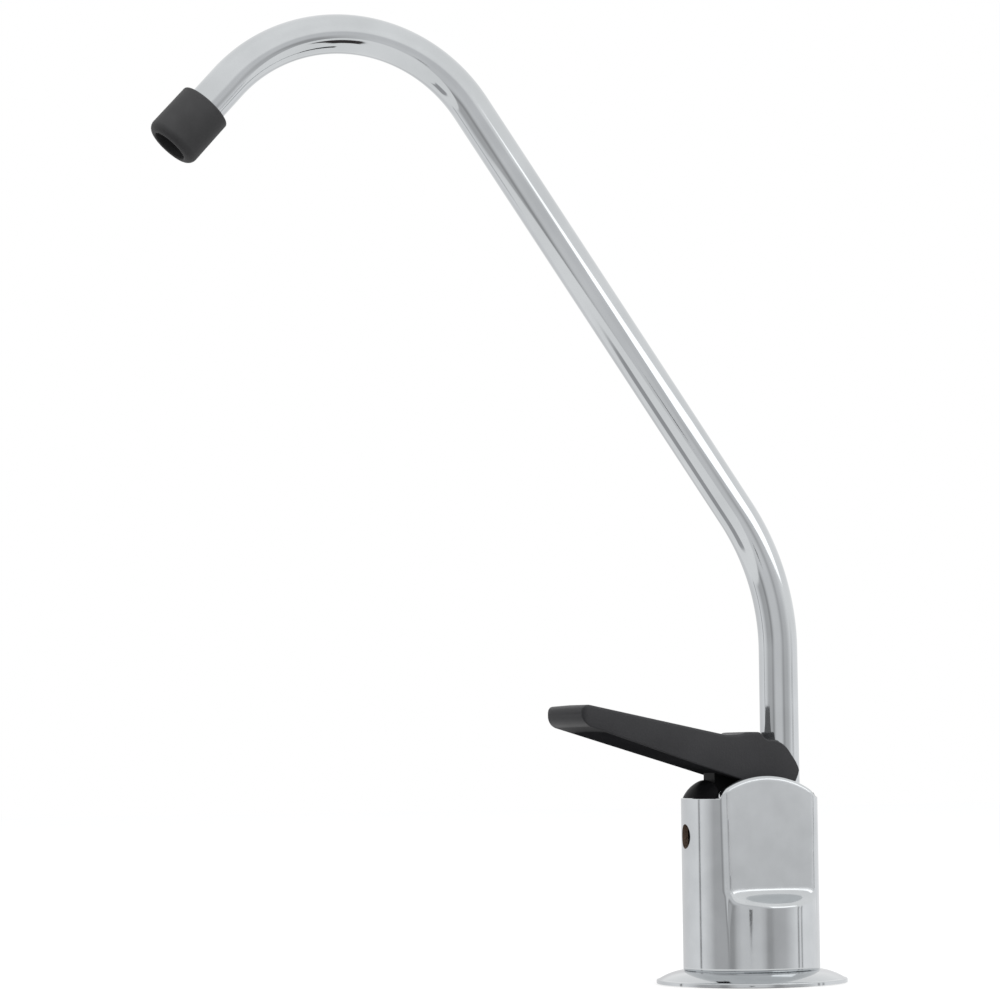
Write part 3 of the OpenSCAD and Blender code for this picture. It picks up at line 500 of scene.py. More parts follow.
# Lever: the black handle that is pressed down, forked round the spout, with a thumb ridge.
# One moulding; its hub hangs between the bonnet's lugs on a pin and works the valve's stem.
lever_reach = 47.1
under_z, under_slope = 48.0, math.tan(math.radians(18.1))
toe, flare = math.radians(7), math.tan(math.radians(9))
lever_side, flare_at = 8.006, 14.0
front_round, front_low_round = 2.0, 2.4
plan_round = 1.3
plan_mid = lever_reach - plan_round
top_edge, top_edge_heel, low_edge, low_edge_heel = 0.7, 0.45, 0.5, 0.35
least_edge, top_crown, crown_from_u = 0.01, 0.12, 4.0
tip_top = under_z + lever_reach * under_slope + 5.15
heel_u = -10.62
# Side view as (distance in front of the axis, height): over the heel, the ridge and the dip to the tip
top_line = [(heel_u, 51.8), (-10.58, 52.5), (-10.1, 53.7), (-8.85, 55.5), (-7.6, 57.3), (-6.3, 58.4),
            (-4.7, 59.1), (-1.7, 59.4), (-0.3, 61.2), (3.3, 61.25), (5.3, 60.8), (8.6, 60.65),
            (lever_reach, tip_top)]
low_line = [(heel_u, 51.6), (-10.45, 50.8), (-9.9, 49.3), (-9.2, 48.4), (-8.2, under_z), (0.0, under_z),
            (lever_reach, under_z + lever_reach * under_slope)]


def line_at(line, u):
    """Height of a line of corners at a distance, run on straight past both ends."""
    for (u0, z0), (u1, z1) in zip(line, line[1:]):
        if u <= u1 or (u1, z1) == line[-1]:
            return z0 + (z1 - z0) * (u - u0) / (u1 - u0)


def eased_line(line, u):
    """The same with its corners eased, but not nearer to the heel's end than the end itself."""
    ease = min(0.5, u - heel_u)
    reads = [line_at(line, u + ease * (k - 4) / 4) for k in range(9)]
    return sum(reads) / len(reads)


def front_fall(u, radius):
    over = u - (lever_reach - radius)
    return radius - math.sqrt(max(radius ** 2 - over ** 2, 0)) if over > 0 else 0.0


def lever_half(u):
    """Half the lever's width: it follows the cheeks, then widens, and is rounded at its front corners."""
    ear_half_width = (lever_side + flare_at * math.sin(toe)) / math.cos(toe)
    if u < flare_at:
        return (lever_side + u * math.sin(toe)) / math.cos(toe)
    if u < plan_mid:
        return ear_half_width + (u - flare_at) * flare
    corner = ear_half_width + (plan_mid - flare_at) * flare - plan_round
    return corner + math.sqrt(max(plan_round ** 2 - (u - plan_mid) ** 2, 0))


stations = [heel_u + d for d in (0.0, 0.02, 0.06, 0.12, 0.2, 0.32, 0.48, 0.7, 0.95, 1.2, 1.5)]
stations += [heel_u + 1.8 + 0.3 * k for k in range(76)]
stations += [heel_u + 25.3 + 1.0 * k for k in range(19)]
stations += [lever_reach - front_round * (1 - math.sin(math.radians(a))) for a in range(0, 91, 9)]
stations += [lever_reach - plan_round * (1 - math.sin(math.radians(a))) for a in range(0, 91, 9)]
stations = sorted(set(round(u, 3) for u in stations))
points = []
for u in stations:
    low = eased_line(low_line, u) + front_fall(u, front_low_round)
    high = eased_line(top_line, u) - front_fall(u, front_round)
    half = lever_half(u)
    room = 0.45 * min(high - low, half)
    upper = max(min(top_edge if u > 0 else top_edge_heel, room), least_edge)
    lower = max(min(low_edge if u > 0 else low_edge_heel, room), least_edge)
    crown = top_crown if u > crown_from_u else 0.0
    ring = arc_corners([(-half, low, lower), (half, low, lower), (half, high - crown, upper),
                        (0, high, 0), (-half, high - crown, upper)], 5)
    points += [(x, -u, z) for x, z in ring]
count = len(ring)
faces = [tuple(range(count)), tuple(range(len(points) - count, len(points)))]
for i in range(len(stations) - 1):
    a, b = i * count, (i + 1) * count
    faces += [(a + k, a + (k + 1) % count, b + (k + 1) % count, b + k) for k in range(count)]
lever = make_piece("lever_moulding", points, faces, black_plastic)

hub_half = 4.0
pin_z = 43.6
cam_u, cam_z = 5.19, 43.917
hub_r = 2.2
hub_steps = 14
neck_front, neck_low, neck_high = 10.3, 47.4, 52.6
heel_root = 51.6
hub_line = [Vector((-hub_r, heel_root))]
for centre in (Vector((0, pin_z)), Vector((cam_u, cam_z))):
    for k in range(hub_steps + 1):
        angle = math.pi * (1 + k / hub_steps)
        hub_line.append(centre + Vector((math.cos(angle), math.sin(angle))) * hub_r)
hub_line += [Vector((neck_front, neck_low)), Vector((neck_front, neck_high))]
points = [(x, -u, z) for x in (-hub_half, hub_half) for u, z in hub_line]
count = len(hub_line)
faces = [tuple(range(count)), tuple(range(count, 2 * count))]
faces += [(k, (k + 1) % count, count + (k + 1) % count, count + k) for k in range(count)]
# The hub and neck take the darker bonnet finish as painted shade between the ears.
hub = make_piece("tool", points, faces, painted_shade_black)
cut(lever, hub, "UNION")
tube_back, slot_r = 8.2, 5.1
slot_past, slot_low, slot_high = 40.0, 37.5, 80.0
slot_line = [(slot_r * math.cos(math.radians(a)), tube_back + slot_r * math.sin(math.radians(a)))
             for a in range(180, 361, 6)] + [(slot_r, slot_past), (-slot_r, slot_past)]
points = [(x, y, z) for z in (slot_low, slot_high) for x, y in slot_line]
count = len(slot_line)
faces = [tuple(range(count)), tuple(range(count, 2 * count))]
faces += [(k, (k + 1) % count, count + (k + 1) % count, count + k) for k in range(count)]
cut(lever, make_piece("tool", points, faces, black_plastic))
pin_hole_r = 1.3
across = Matrix.Translation((0, 0, pin_z)) @ Matrix.Rotation(math.pi / 2, 4, "Y")
cut(lever, drill(pin_hole_r, -20, 20, across, 48, black_plastic))
smooth(lever, 32)
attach(lever, "lever")
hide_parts("lever")


# Body shell: the round chrome body with two flat cheeks that rise into ears beside the lever.
# Cast in zinc, linished flat on the cheeks, polished and plated, with a vent hole in front.
shell_out, shell_in = 16.7, 15.2
shell_low, rim_z = 3.4, 45.3
cheek_wall = 2.8
cheek_at, cheek_lean = 11.2, math.tan(math.radians(1))
ledge_z, ledge_low, ledge_rise, ledge_under = 22.4, 19.4, 0.009, 1.4
ledge_run = 1 / math.tan(math.radians(32))
ear_top, ear_crown_r, ear_half, ear_lead = 50.7, 22.0, 13.1, 0.6
ear_end_round, ear_corner_round = 1.3, 1.7
ear_edge, rim_edge, foot_edge = 1.2, 0.35, 0.3
cheek_edge_ease, ledge_ease, ledge_edge_ease = 1.5, 1.1, 0.9
cheek_reach = 14.0


def eased_max(a, b, ease):
    blend = max(ease - abs(a - b), 0) / ease
    return max(a, b) + blend * blend * ease / 4


def cheek_flat(z):
    return cheek_at + (rim_z - z) * cheek_lean


def end_fall(y):
    """How far the rounded end of an ear stands back from the flat."""
    inside = ear_half - abs(y)
    if inside >= ear_end_round:
        return 0.0
    return ear_end_round - math.sqrt(ear_end_round ** 2 - (ear_end_round - max(inside, 0)) ** 2)


def cheek_out(y, z):
    """How far the outside stands from the axis, square to a cheek."""
    round_x = math.sqrt(shell_out ** 2 - y ** 2)
    flat = cheek_flat(z)
    foot = cheek_flat(ledge_z)
    slope = max(round_x - foot, 0.1) / (ledge_z - ledge_low - ledge_rise * y * y)
    ledge = foot + slope * (ledge_z - z)
    ease = ledge_edge_ease if z < ledge_z else cheek_edge_ease
    out = -eased_max(-eased_max(flat, ledge, ledge_ease * slope), -round_x, ease)
    if z > rim_z:
        out = min(out, flat - end_fall(y))
    return out


def cheek_in(y, z):
    ledge = cheek_flat(ledge_z) + (ledge_z - ledge_under - z) * ledge_run
    return min(max(cheek_flat(z), ledge) - cheek_wall, math.sqrt(shell_in ** 2 - y ** 2))


def ear_height(y):
    """Height of the shell's top at a distance along a cheek, and how much of an ear it is."""
    inside = ear_half - abs(y)
    if inside < 0:
        return rim_z, 0.0
    crown = ear_top - ear_crown_r + math.sqrt(ear_crown_r ** 2 - (y + ear_lead) ** 2)
    if inside < ear_corner_round:
        crown -= ear_corner_round - math.sqrt(ear_corner_round ** 2 - (ear_corner_round - inside) ** 2)
    return max(crown, rim_z), min(max((crown - rim_z) / ear_edge, 0), 1)


low_rows = [shell_low + foot_edge, 4.4, 6.0, 8.0, 10.0, 12.0, 14.0]
low_rows += [15.0 + 0.5 * k for k in range(23)]
low_rows += [27.0 + 1.5 * k for k in range(12)] + [44.6]
inner_rows = [shell_low, 8.0, 14.0, 17.0, 19.0, 20.5, 22.0, 24.0, 28.0, 34.0, 40.0, 44.0]
high_steps, edge_steps, edge_limit = 10, 7, 0.46


def shell_column(outside, inside, top, edge):
    """A ring up the outside, over the top and down the inside, from a point of each at a height."""
    edge = min(edge, edge_limit * (outside(top) - inside(top)).length)
    way = (inside(top) - outside(top)).normalized()
    straight = top - edge
    high_rows = [low_rows[-1] + (straight - low_rows[-1]) * k / high_steps for k in range(1, high_steps + 1)]
    ring = [(*(outside(shell_low) + way * foot_edge), shell_low)]
    ring += [(*outside(z), z) for z in low_rows + high_rows]
    for k in range(1, edge_steps + 1):
        angle = math.pi / 2 * k / edge_steps
        spot = outside(straight) + way * edge * (1 - math.cos(angle))
        ring.append((*spot, straight + edge * math.sin(angle)))
    for k in range(edge_steps + 1):
        angle = math.pi / 2 * k / edge_steps
        spot = inside(straight) - way * edge * (1 - math.sin(angle))
        ring.append((*spot, straight + edge * math.cos(angle)))
    return ring + [(*inside(z), z) for z in inner_rows[::-1]]


def cheek_columns(mirror):
    turn = Matrix.Rotation(toe, 2)
    columns = []
    steps = 112
    spots = [-cheek_reach + 2 * cheek_reach * i / steps for i in range(steps + 1)]
    ends = [ear_half - d for d in (-0.01, 0.0, 0.03, 0.1, 0.2, 0.33, 0.5, 0.7, 0.95, 1.15, 1.3)]
    for y in sorted(spots + ends + [-y for y in ends]):
        top, share = ear_height(y)

        def seat(x):
            spot = turn @ Vector((x, y))
            return Vector((-spot.x if mirror else spot.x, spot.y))
        columns.append(shell_column(lambda z: seat(cheek_out(y, z)), lambda z: seat(cheek_in(y, z)), top,
                                    rim_edge + (ear_edge - rim_edge) * share))
    return columns[::-1] if mirror else columns


def round_columns(middle, steps):
    """Plain round part of the shell between the cheeks, about a middle angle in degrees."""
    sign = 1 if middle > 0 else -1
    reach_out = math.degrees(math.asin(cheek_reach / shell_out) + sign * toe)
    reach_in = math.degrees(math.asin(cheek_reach / shell_in) + sign * toe)
    columns = []
    for i in range(1, steps):
        share = 2 * i / steps - 1
        angle_out = math.radians(middle + sign * share * (90 - reach_out))
        angle_in = math.radians(middle + sign * share * (90 - reach_in))
        spot_out = Vector((math.cos(angle_out), math.sin(angle_out))) * shell_out
        spot_in = Vector((math.cos(angle_in), math.sin(angle_in))) * shell_in
        columns.append(shell_column(lambda z: spot_out, lambda z: spot_in, rim_z, rim_edge))
    return columns


columns = cheek_columns(False) + round_columns(90, 44) + cheek_columns(True) + round_columns(-90, 66)[::-1]
count = len(columns[0])
points = [p for column in columns for p in column]
faces = []
for i in range(len(columns)):
    a, b = i * count, (i + 1) % len(columns) * count
    faces += [(a + k, b + k, b + (k + 1) % count, a + (k + 1) % count) for k in range(count)]

# Chromium plate on a linished casting: as bright as the base plate, but the flat cheeks are satin.
# Linishing marks of 0.1 mm are drawn at 0.5 mm.
chrome_cast, tree, place = start_finish("chrome_plate_on_casting")
satin_mask = add(tree, "ShaderNodeAttribute", attribute_name="linished")
haze = add(tree, "ShaderNodeTexNoise", {"Vector": place, "Scale": 1 / (7 * mm), "Detail": 4.0})
long_way = add(tree, "ShaderNodeMapping", {"Vector": place, "Scale": (1.0, 1.0, 0.12)})
streaks = add(tree, "ShaderNodeTexNoise", {
    "Vector": long_way.outputs["Vector"], "Scale": 1 / (0.5 * mm), "Detail": 2.0})
streak_bump = add(tree, "ShaderNodeBump", {
    "Height": streaks.outputs["Fac"], "Strength": 0.12, "Distance": 0.01 * mm})
bright = add(tree, "ShaderNodeMapRange", {
    "Value": haze.outputs["Fac"], "To Min": 0.06, "To Max": 0.12})
satin = add(tree, "ShaderNodeMath", {0: satin_mask.outputs["Fac"], 1: 0.22, 2: bright.outputs["Result"]},
            operation="MULTIPLY_ADD")
tone = add(tree, "ShaderNodeValToRGB", {"Fac": haze.outputs["Fac"]}, tones("#C3C6C8", "#CBCED0"))
surface = add(tree, "ShaderNodeBsdfPrincipled", {
    "Base Color": tone.outputs["Color"], "Metallic": 1.0,
    "Roughness": satin.outputs["Value"], "Normal": streak_bump.outputs["Normal"]})
add(tree, "ShaderNodeOutputMaterial", {"Surface": surface.outputs["BSDF"]})
body_shell = make_piece("body_shell_cast", points, faces, chrome_cast)
# Bare casting: the drilled edge of the vent is unplated, dull and brownish, with specks of 0.6 mm.
bare, tree, place = start_finish("bare_casting_drilled")
specks = add(tree, "ShaderNodeTexNoise", {"Vector": place, "Scale": 1 / (0.6 * mm), "Detail": 3.0})
tone = add(tree, "ShaderNodeValToRGB", {"Fac": specks.outputs["Fac"]}, tones("#6E5A4C", "#927B69"))
surface = add(tree, "ShaderNodeBsdfPrincipled", {
    "Base Color": tone.outputs["Color"], "Roughness": 0.6})
add(tree, "ShaderNodeOutputMaterial", {"Surface": surface.outputs["BSDF"]})
vent_r, vent_z = 3.0, 36.0
forward = Matrix.Translation((0, 0, vent_z)) @ Matrix.Rotation(math.pi / 2, 4, "X")
cut(body_shell, drill(vent_r, 10, 30, forward, 48, bare))
flat_skin = 0.08
linished = body_shell.data.attributes.new("linished", "FLOAT", "POINT")
for vertex, value in zip(body_shell.data.vertices, linished.data):
    x, y, z = vertex.co / mm
    square = abs(x) * math.cos(toe) + y * math.sin(toe)
    value.value = 1.0 if abs(square - cheek_flat(z)) < flat_skin and z > ledge_z else 0.0
smooth(body_shell, 50)
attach(body_shell, "base")
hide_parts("body_shell")


# Spout: a bent brass tube, upright in its socket, leaning forward, then over in a gooseneck.
# Drawn tube, bent cold on round formers, polished along its length and plated with chromium.
tube_r, tube_wall = 4.75, 0.9
foot_z, rise_z = 40.0, 81.4
low_bend_r, low_bend_a = 60.0, 34.2
lean_len = 118.8
top_bend_r, top_bend_a = 38.2, 104.0
end_len, tip_grip = 8.2, 8.0
bend_step = 1.3
tube_path = [Vector((tube_back, foot_z))]
heading = 0.0
for run, bend_r, bend_a in ((rise_z - foot_z, low_bend_r, low_bend_a), (lean_len, top_bend_r, top_bend_a)):
    way = Vector((-math.sin(heading), math.cos(heading)))
    side = Vector((-math.cos(heading), -math.sin(heading)))
    start = tube_path[-1]
    for k in range(1, 13):
        tube_path.append(start + way * run * k / 12)
    centre = tube_path[-1] + side * bend_r
    steps = int(bend_a / bend_step)
    for k in range(1, steps + 1):
        angle = heading + math.radians(bend_a) * k / steps
        tube_path.append(centre + Vector((math.cos(angle), math.sin(angle))) * bend_r)
    heading += math.radians(bend_a)
tip_way = Vector((-math.sin(heading), math.cos(heading)))
bend_end = tube_path[-1]
tip_root = bend_end + tip_way * end_len
tube_path += [bend_end + tip_way * (end_len + tip_grip) * k / 4 for k in range(1, 5)]

# Chromium plate on drawn tube: a clean mirror with faint lines along the tube from polishing.
# The lines are about 0.05 mm apart and are drawn at 0.3 mm, from a record of each point's place.
line_pitch = 0.3
chrome_tube, tree, place = start_finish("chrome_plate_on_drawn_tube")
haze = add(tree, "ShaderNodeTexNoise", {"Vector": place, "Scale": 1 / (12 * mm), "Detail": 4.0})
tube_place = add(tree, "ShaderNodeAttribute", attribute_name="round_and_along")
lines = add(tree, "ShaderNodeTexNoise", {
    "Vector": tube_place.outputs["Vector"], "Scale": 1 / (line_pitch * mm), "Detail": 2.0})
line_bump = add(tree, "ShaderNodeBump", {
    "Height": lines.outputs["Fac"], "Strength": 0.1, "Distance": 0.01 * mm})
gloss = add(tree, "ShaderNodeMapRange", {
    "Value": haze.outputs["Fac"], "To Min": 0.03, "To Max": 0.09})
tone = add(tree, "ShaderNodeValToRGB", {"Fac": haze.outputs["Fac"]}, tones("#C4C7C9", "#CCCFD1"))
surface = add(tree, "ShaderNodeBsdfPrincipled", {
    "Base Color": tone.outputs["Color"], "Metallic": 1.0,
    "Roughness": gloss.outputs["Result"], "Normal": line_bump.outputs["Normal"]})
add(tree, "ShaderNodeOutputMaterial", {"Surface": surface.outputs["BSDF"]})
spout_tube = round_bar("spout_tube_bent", [(0, p.x, p.y) for p in tube_path], tube_r, 96, chrome_tube,
                       closed=False, wall=tube_wall)
path_tree = KDTree(len(tube_path))
path_run = [0.0]
for i, spot in enumerate(tube_path):
    path_tree.insert((0, spot.x * mm, spot.y * mm), i)
    path_run.append(path_run[-1] + (spot - tube_path[max(i - 1, 0)]).length * mm)
path_tree.balance()
along_share = 0.02
round_and_along = spout_tube.data.attributes.new("round_and_along", "FLOAT_VECTOR", "POINT")
for vertex, value in zip(spout_tube.data.vertices, round_and_along.data):
    i = path_tree.find((0, vertex.co.y, vertex.co.z))[1]
    ahead = tube_path[min(i + 1, len(tube_path) - 1)] - tube_path[max(i - 1, 0)]
    outward = Vector((ahead.y, -ahead.x)).normalized()
    offset = Vector(vertex.co.yz) - tube_path[i] * mm
    value.vector = (vertex.co.x, offset.dot(outward), path_run[i + 1] * along_share)
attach(spout_tube, "spout")
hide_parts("spout_tube")


# Tip: the black sleeve on the spout's outlet, which keeps the stream straight.
# Moulded in soft black plastic and pushed over the tube's end up to a step inside.
tip_r, tip_len, mouth_r = 6.8, 13.4, 4.4
tip_edge, tip_mouth_edge, tip_back_edge = 2.0, 0.4, 0.5
tip_taper = 0.15
tip_black, tree, place = start_finish("soft_black_plastic_moulded")
flow = add(tree, "ShaderNodeTexNoise", {"Vector": place, "Scale": 1 / (5 * mm), "Detail": 3.0})
grain = add(tree, "ShaderNodeTexNoise", {"Vector": place, "Scale": 1 / (0.45 * mm), "Detail": 3.0})
grain_bump = add(tree, "ShaderNodeBump", {
    "Height": grain.outputs["Fac"], "Strength": 0.35, "Distance": 0.05 * mm})
tone = add(tree, "ShaderNodeValToRGB", {"Fac": flow.outputs["Fac"]}, tones("#303031", "#373738"))
surface = add(tree, "ShaderNodeBsdfPrincipled", {
    "Base Color": tone.outputs["Color"], "Roughness": 0.62,
    "Specular IOR Level": 0.35, "Normal": grain_bump.outputs["Normal"]})
add(tree, "ShaderNodeOutputMaterial", {"Surface": surface.outputs["BSDF"]})
tip_frame = Matrix(((1, 0, 0, 0),
                    (0, tip_way.y, tip_way.x, tip_root.x),
                    (0, -tip_way.x, tip_way.y, tip_root.y),
                    (0, 0, 0, 1)))
spout_tip = revolve("spout_tip_moulded", arc_corners([
    (tube_r + 0.02, 0, 0.15), (tip_r - tip_taper, 0, tip_back_edge), (tip_r, tip_len, tip_edge),
    (mouth_r, tip_len, tip_mouth_edge), (mouth_r, tip_grip + 0.02, 0.1), (tube_r + 0.02, tip_grip + 0.02, 0)],
    8), 96, tip_black, tip_frame)
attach(spout_tip, "spout")
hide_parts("spout_tip")


# Floor: a plain white table top at the worktop's height.
# To the camera it is a white sweep that still takes the tap's soft shadow.
floor_half = 3000
floor_finish, tree, place = start_finish("white_table")
rays = add(tree, "ShaderNodeLightPath").outputs
matt = add(tree, "ShaderNodeBsdfDiffuse", {"Color": (0.3, 0.3, 0.3, 1)})
soft = add(tree, "ShaderNodeBsdfDiffuse", {"Color": (0.3, 0.3, 0.3, 1)})
glow = add(tree, "ShaderNodeEmission", {"Color": (1, 1, 1, 1), "Strength": 0.78})
sweep = add(tree, "ShaderNodeAddShader", {0: soft.outputs["BSDF"], 1: glow.outputs["Emission"]})
table = add(tree, "ShaderNodeMixShader", {
    0: rays["Is Camera Ray"], 1: matt.outputs["BSDF"], 2: sweep.outputs["Shader"]})
add(tree, "ShaderNodeOutputMaterial", {"Surface": table.outputs["Shader"]})
floor_mesh = bpy.data.meshes.new("floor")
floor_mesh.from_pydata([(x * floor_half * mm, y * floor_half * mm, 0)
                        for x, y in ((-1, -1), (1, -1), (1, 1), (-1, 1))], [], [(0, 1, 2, 3)])
floor_mesh.materials.append(floor_finish)
floor = bpy.data.objects.new("floor", floor_mesh)
bpy.context.scene.collection.objects.link(floor)
floor.visible_glossy = False


# Light tent: white cloth round, over and under the tap, open toward the camera, seen only in the metal.
# Its open front shows a dimmer room with two darker stands, the camera, and the dark edge of the table.
tent_r, tent_high, tent_low = 420, 520, -320
tent_dome, tent_sides = 160, 144
camera_az = 69.99
tent_finish, tree, place = start_finish("tent_cloth")
turned = add(tree, "ShaderNodeMapping", {
    "Vector": place, "Rotation": (0, 0, math.radians(90 - camera_az))})
split = add(tree, "ShaderNodeSeparateXYZ", {"Vector": turned.outputs["Vector"]}).outputs
high = split["Z"]
right = add(tree, "ShaderNodeMath", {0: split["Y"], 1: split["X"]}, operation="ARCTAN2").outputs["Value"]
aside = add(tree, "ShaderNodeMath", {0: right}, operation="ABSOLUTE").outputs["Value"]
level_spot = add(tree, "ShaderNodeCombineXYZ", {"X": split["X"], "Y": split["Y"]}).outputs["Vector"]
reach = add(tree, "ShaderNodeVectorMath", {0: level_spot}, operation="LENGTH").outputs["Value"]
share = add(tree, "ShaderNodeMath", {
    0: right, 1: 0.5 / math.pi, 2: 0.5}, operation="MULTIPLY_ADD").outputs["Value"]
# Brightness of the room and the cloth by the angle from the camera's side, in degrees to the right
layout = (
    (-180, 0.72), (-130, 0.86), (-95, 1.0), (-93.5, 0.3), (-91, 0.3), (-90, 0.97), (-84, 0.95), (-72, 0.78),
    (-62, 0.56), (-40, 0.56), (-35, 0.42), (-29, 0.42), (-23, 0.66), (-15, 0.8), (15, 0.8), (23, 0.66),
    (28, 0.46), (34, 0.46), (40, 0.58), (58, 0.62), (70, 0.8), (82, 1.0), (83.5, 1.0), (84.5, 0.35),
    (86.5, 0.35), (87.5, 1.05), (91, 1.05), (92, 0.35), (93.5, 0.35), (95, 1.05), (135, 1.0), (180, 0.8))
low_room = add(tree, "ShaderNodeValToRGB", {"Fac": share}, [
    ((angle + 180) / 360, (level, level, level * 1.01, 1)) for angle, level in layout]).outputs["Color"]
white_cloth, dim_room, lamp_white = (1, 1, 1, 1), (0.76, 0.76, 0.77, 1), (1.8, 1.8, 1.8, 1)
stand_grey, table_dark, lens_dark = (0.45, 0.45, 0.46, 1), (0.05, 0.045, 0.045, 1), (0.02, 0.02, 0.02, 1)
deg = math.radians(1)


def lay_over(tree, under, over, *edges):
    """Lays one colour over another inside soft edges, each a value with its start and its stop."""
    mask = 1.0
    for value, start, stop in edges:
        step = add(tree, "ShaderNodeMapRange", {
            "Value": value, "From Min": start, "From Max": stop}, interpolation_type="SMOOTHSTEP")
        mask = add(tree, "ShaderNodeMath", {
            0: mask, 1: step.outputs["Result"]}, operation="MULTIPLY").outputs["Value"]
    return add(tree, "ShaderNodeMix", {0: mask, 6: under, 7: over}, data_type="RGBA").outputs[2]


high_room = lay_over(tree, dim_room, white_cloth, (aside, 50 * deg, 80 * deg))
high_room = lay_over(tree, high_room, white_cloth, (high, 230 * mm, 310 * mm))
room = lay_over(tree, low_room, high_room, (high, 60 * mm, 150 * mm))
room = lay_over(tree, room, white_cloth, (high, -45 * mm, -60 * mm))
room = lay_over(tree, room, lamp_white, (right, 37 * deg, 38 * deg), (right, 86 * deg, 85 * deg),
                (high, 175 * mm, 180 * mm), (high, 345 * mm, 340 * mm))
room = lay_over(tree, room, stand_grey, (right, -95 * deg, -88 * deg), (right, -55 * deg, -60 * deg),
                (high, -280 * mm, -260 * mm), (high, -140 * mm, -160 * mm))
room = lay_over(tree, room, table_dark, (right, 17 * deg, 20 * deg), (right, 47 * deg, 43 * deg),
                (high, -170 * mm, -190 * mm), (reach, 260 * mm, 280 * mm))
# The camera is a dark wedge that widens upward and ends just above the table
lens_low, lens_wide, lens_top, lens_half = -8, 2, 6, 3.2
lens_edge = add(tree, "ShaderNodeMapRange", {
    "Value": high, "From Min": lens_low * mm, "From Max": lens_wide * mm,
    "To Min": 0.0, "To Max": lens_half * deg}).outputs["Result"]
lens_wedge = add(tree, "ShaderNodeMath", {0: aside, 1: lens_edge}, operation="LESS_THAN").outputs["Value"]
lens_under = add(tree, "ShaderNodeMath", {0: high, 1: lens_top * mm}, operation="LESS_THAN").outputs["Value"]
lens_mask = add(tree, "ShaderNodeMath", {
    0: lens_wedge, 1: lens_under}, operation="MULTIPLY").outputs["Value"]
room = add(tree, "ShaderNodeMix", {0: lens_mask, 6: room, 7: lens_dark}, data_type="RGBA").outputs[2]
shine = add(tree, "ShaderNodeEmission", {"Color": room, "Strength": 1.0})
add(tree, "ShaderNodeOutputMaterial", {"Surface": shine.outputs["Emission"]})
tent_line = [(tent_r * 0.02, tent_low), (tent_r, tent_low), (tent_r, tent_high)]
tent_line += [(tent_r * math.cos(math.radians(a)), tent_high + tent_dome * math.sin(math.radians(a)))
              for a in range(10, 90, 10)]
tent_turns = [2 * math.pi * k / tent_sides for k in range(tent_sides)]
points = [(r * math.cos(a) * mm, r * math.sin(a) * mm, z * mm) for r, z in tent_line for a in tent_turns]
faces = []
for i in range(len(tent_line) - 1):
    a, b = i * tent_sides, (i + 1) * tent_sides
    faces += [(a + k, a + (k + 1) % tent_sides, b + (k + 1) % tent_sides, b + k) for k in range(tent_sides)]
faces.append(tuple(range((len(tent_line) - 1) * tent_sides, len(tent_line) * tent_sides)))
tent_mesh = bpy.data.meshes.new("light_tent")
tent_mesh.from_pydata(points, [], faces)
tent_mesh.materials.append(tent_finish)
tent = bpy.data.objects.new("light_tent", tent_mesh)
bpy.context.scene.collection.objects.link(tent)
tent.visible_camera = False
tent.visible_diffuse = False
tent.visible_transmission = False
tent.visible_volume_scatter = False
tent.visible_shadow = False


# Lamps and surround: a plain white surround and two soft boxes above and beside the camera.
# The boxes are square and wide, so that the tap's shadow on the table stays faint.
def soft_box(name, place, size, watts):
    lamp = bpy.data.lights.new(name, "AREA")
    lamp.shape = "SQUARE"
    lamp.size = size
    lamp.energy = watts
    holder = bpy.data.objects.new(name, lamp)
    holder.location = place
    aim = lamp_target - Vector(place)
    holder.rotation_euler = aim.to_track_quat("-Z", "Y").to_euler()
    bpy.context.scene.collection.objects.link(holder)


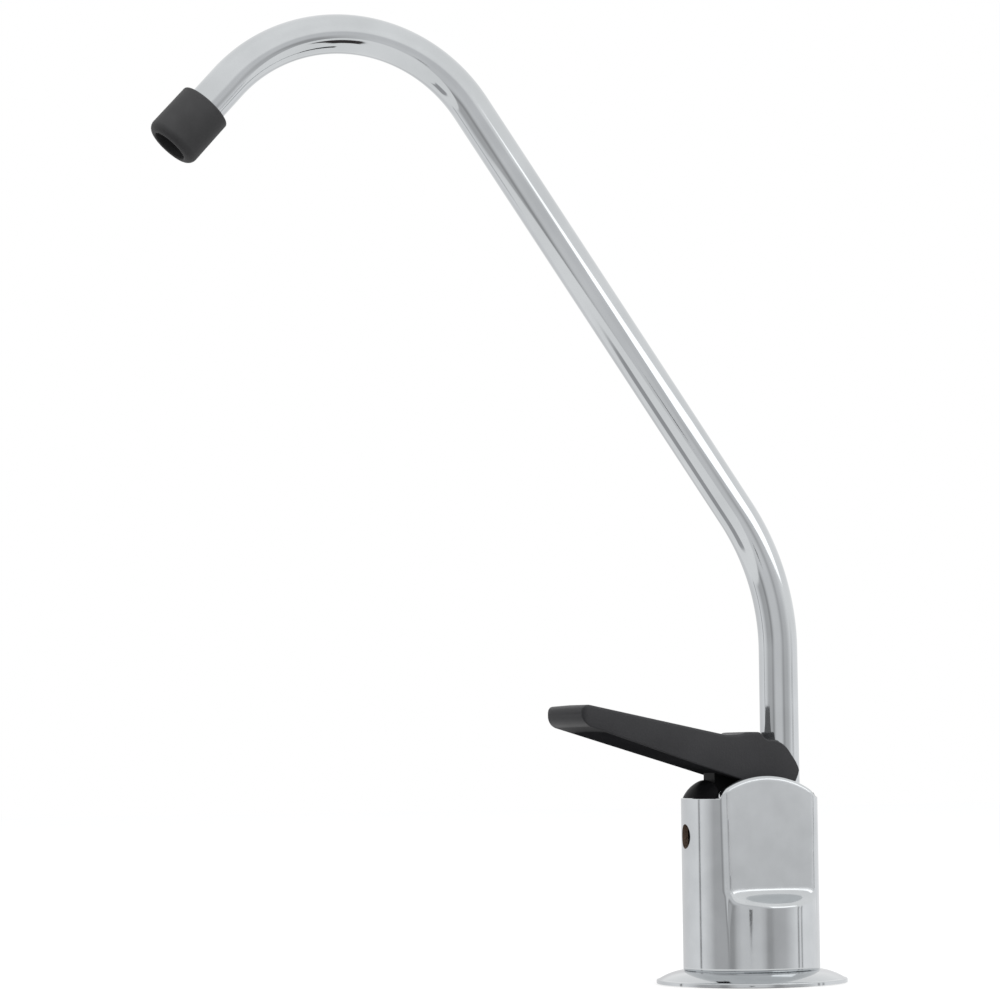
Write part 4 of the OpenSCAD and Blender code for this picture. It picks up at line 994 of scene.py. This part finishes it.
lamp_target = Vector((0, -0.04, 0.1))
soft_box("soft_box_high", (0.35, -0.25, 1.5), 0.9, 9.0)
soft_box("soft_box_side", (1.2, 0.45, 0.7), 0.7, 4.5)
world = bpy.data.worlds.new("white_surround")
bpy.context.scene.world = world
world.use_nodes = True
tree = world.node_tree
tree.nodes.clear()
rays = add(tree, "ShaderNodeLightPath").outputs
seen = add(tree, "ShaderNodeMath", {
    0: rays["Is Camera Ray"], 1: rays["Is Glossy Ray"]}, operation="MAXIMUM")
seen = add(tree, "ShaderNodeMath", {
    0: seen.outputs["Value"], 1: rays["Is Transmission Ray"]}, operation="MAXIMUM")
ambient = add(tree, "ShaderNodeBackground", {"Color": (0.97, 0.98, 1.0, 1), "Strength": 0.72})
white = add(tree, "ShaderNodeBackground", {"Color": (1, 1, 1, 1), "Strength": 1.0})
both = add(tree, "ShaderNodeMixShader", {
    0: seen.outputs["Value"], 1: ambient.outputs["Background"], 2: white.outputs["Background"]})
add(tree, "ShaderNodeOutputWorld", {"Surface": both.outputs["Shader"]})
bpy.context.scene.view_settings.view_transform = "Standard"


# Camera: level with the body, turned 70 degrees from the front and looking a little up.
# Its place, turn and lens were fitted to the spout's line and the body in the photograph.
eye_distance, eye_height = 914.3, 55.56
az = math.radians(camera_az)
yaw, pitch, roll = math.radians(3.7744), math.radians(3.9819), math.radians(-0.6752)
turn_to = az + yaw
ahead = Vector((-math.sin(turn_to) * math.cos(pitch), math.cos(turn_to) * math.cos(pitch), math.sin(pitch)))
rightward = Vector((math.cos(turn_to), math.sin(turn_to), 0))
upward = rightward.cross(ahead)
right_rolled = rightward * math.cos(roll) + upward * math.sin(roll)
up_rolled = upward * math.cos(roll) - rightward * math.sin(roll)
eye = Matrix((right_rolled, up_rolled, -ahead)).transposed().to_4x4()
eye.translation = Vector((eye_distance * math.sin(az), -eye_distance * math.cos(az), eye_height)) * mm
lens = bpy.data.cameras.new("photo_camera")
lens.sensor_width = 36
lens.lens = 133.54
lens.clip_start = 0.01
photo_camera = bpy.data.objects.new("photo_camera", lens)
photo_camera.matrix_world = eye
bpy.context.scene.collection.objects.link(photo_camera)
bpy.context.scene.camera = photo_camera
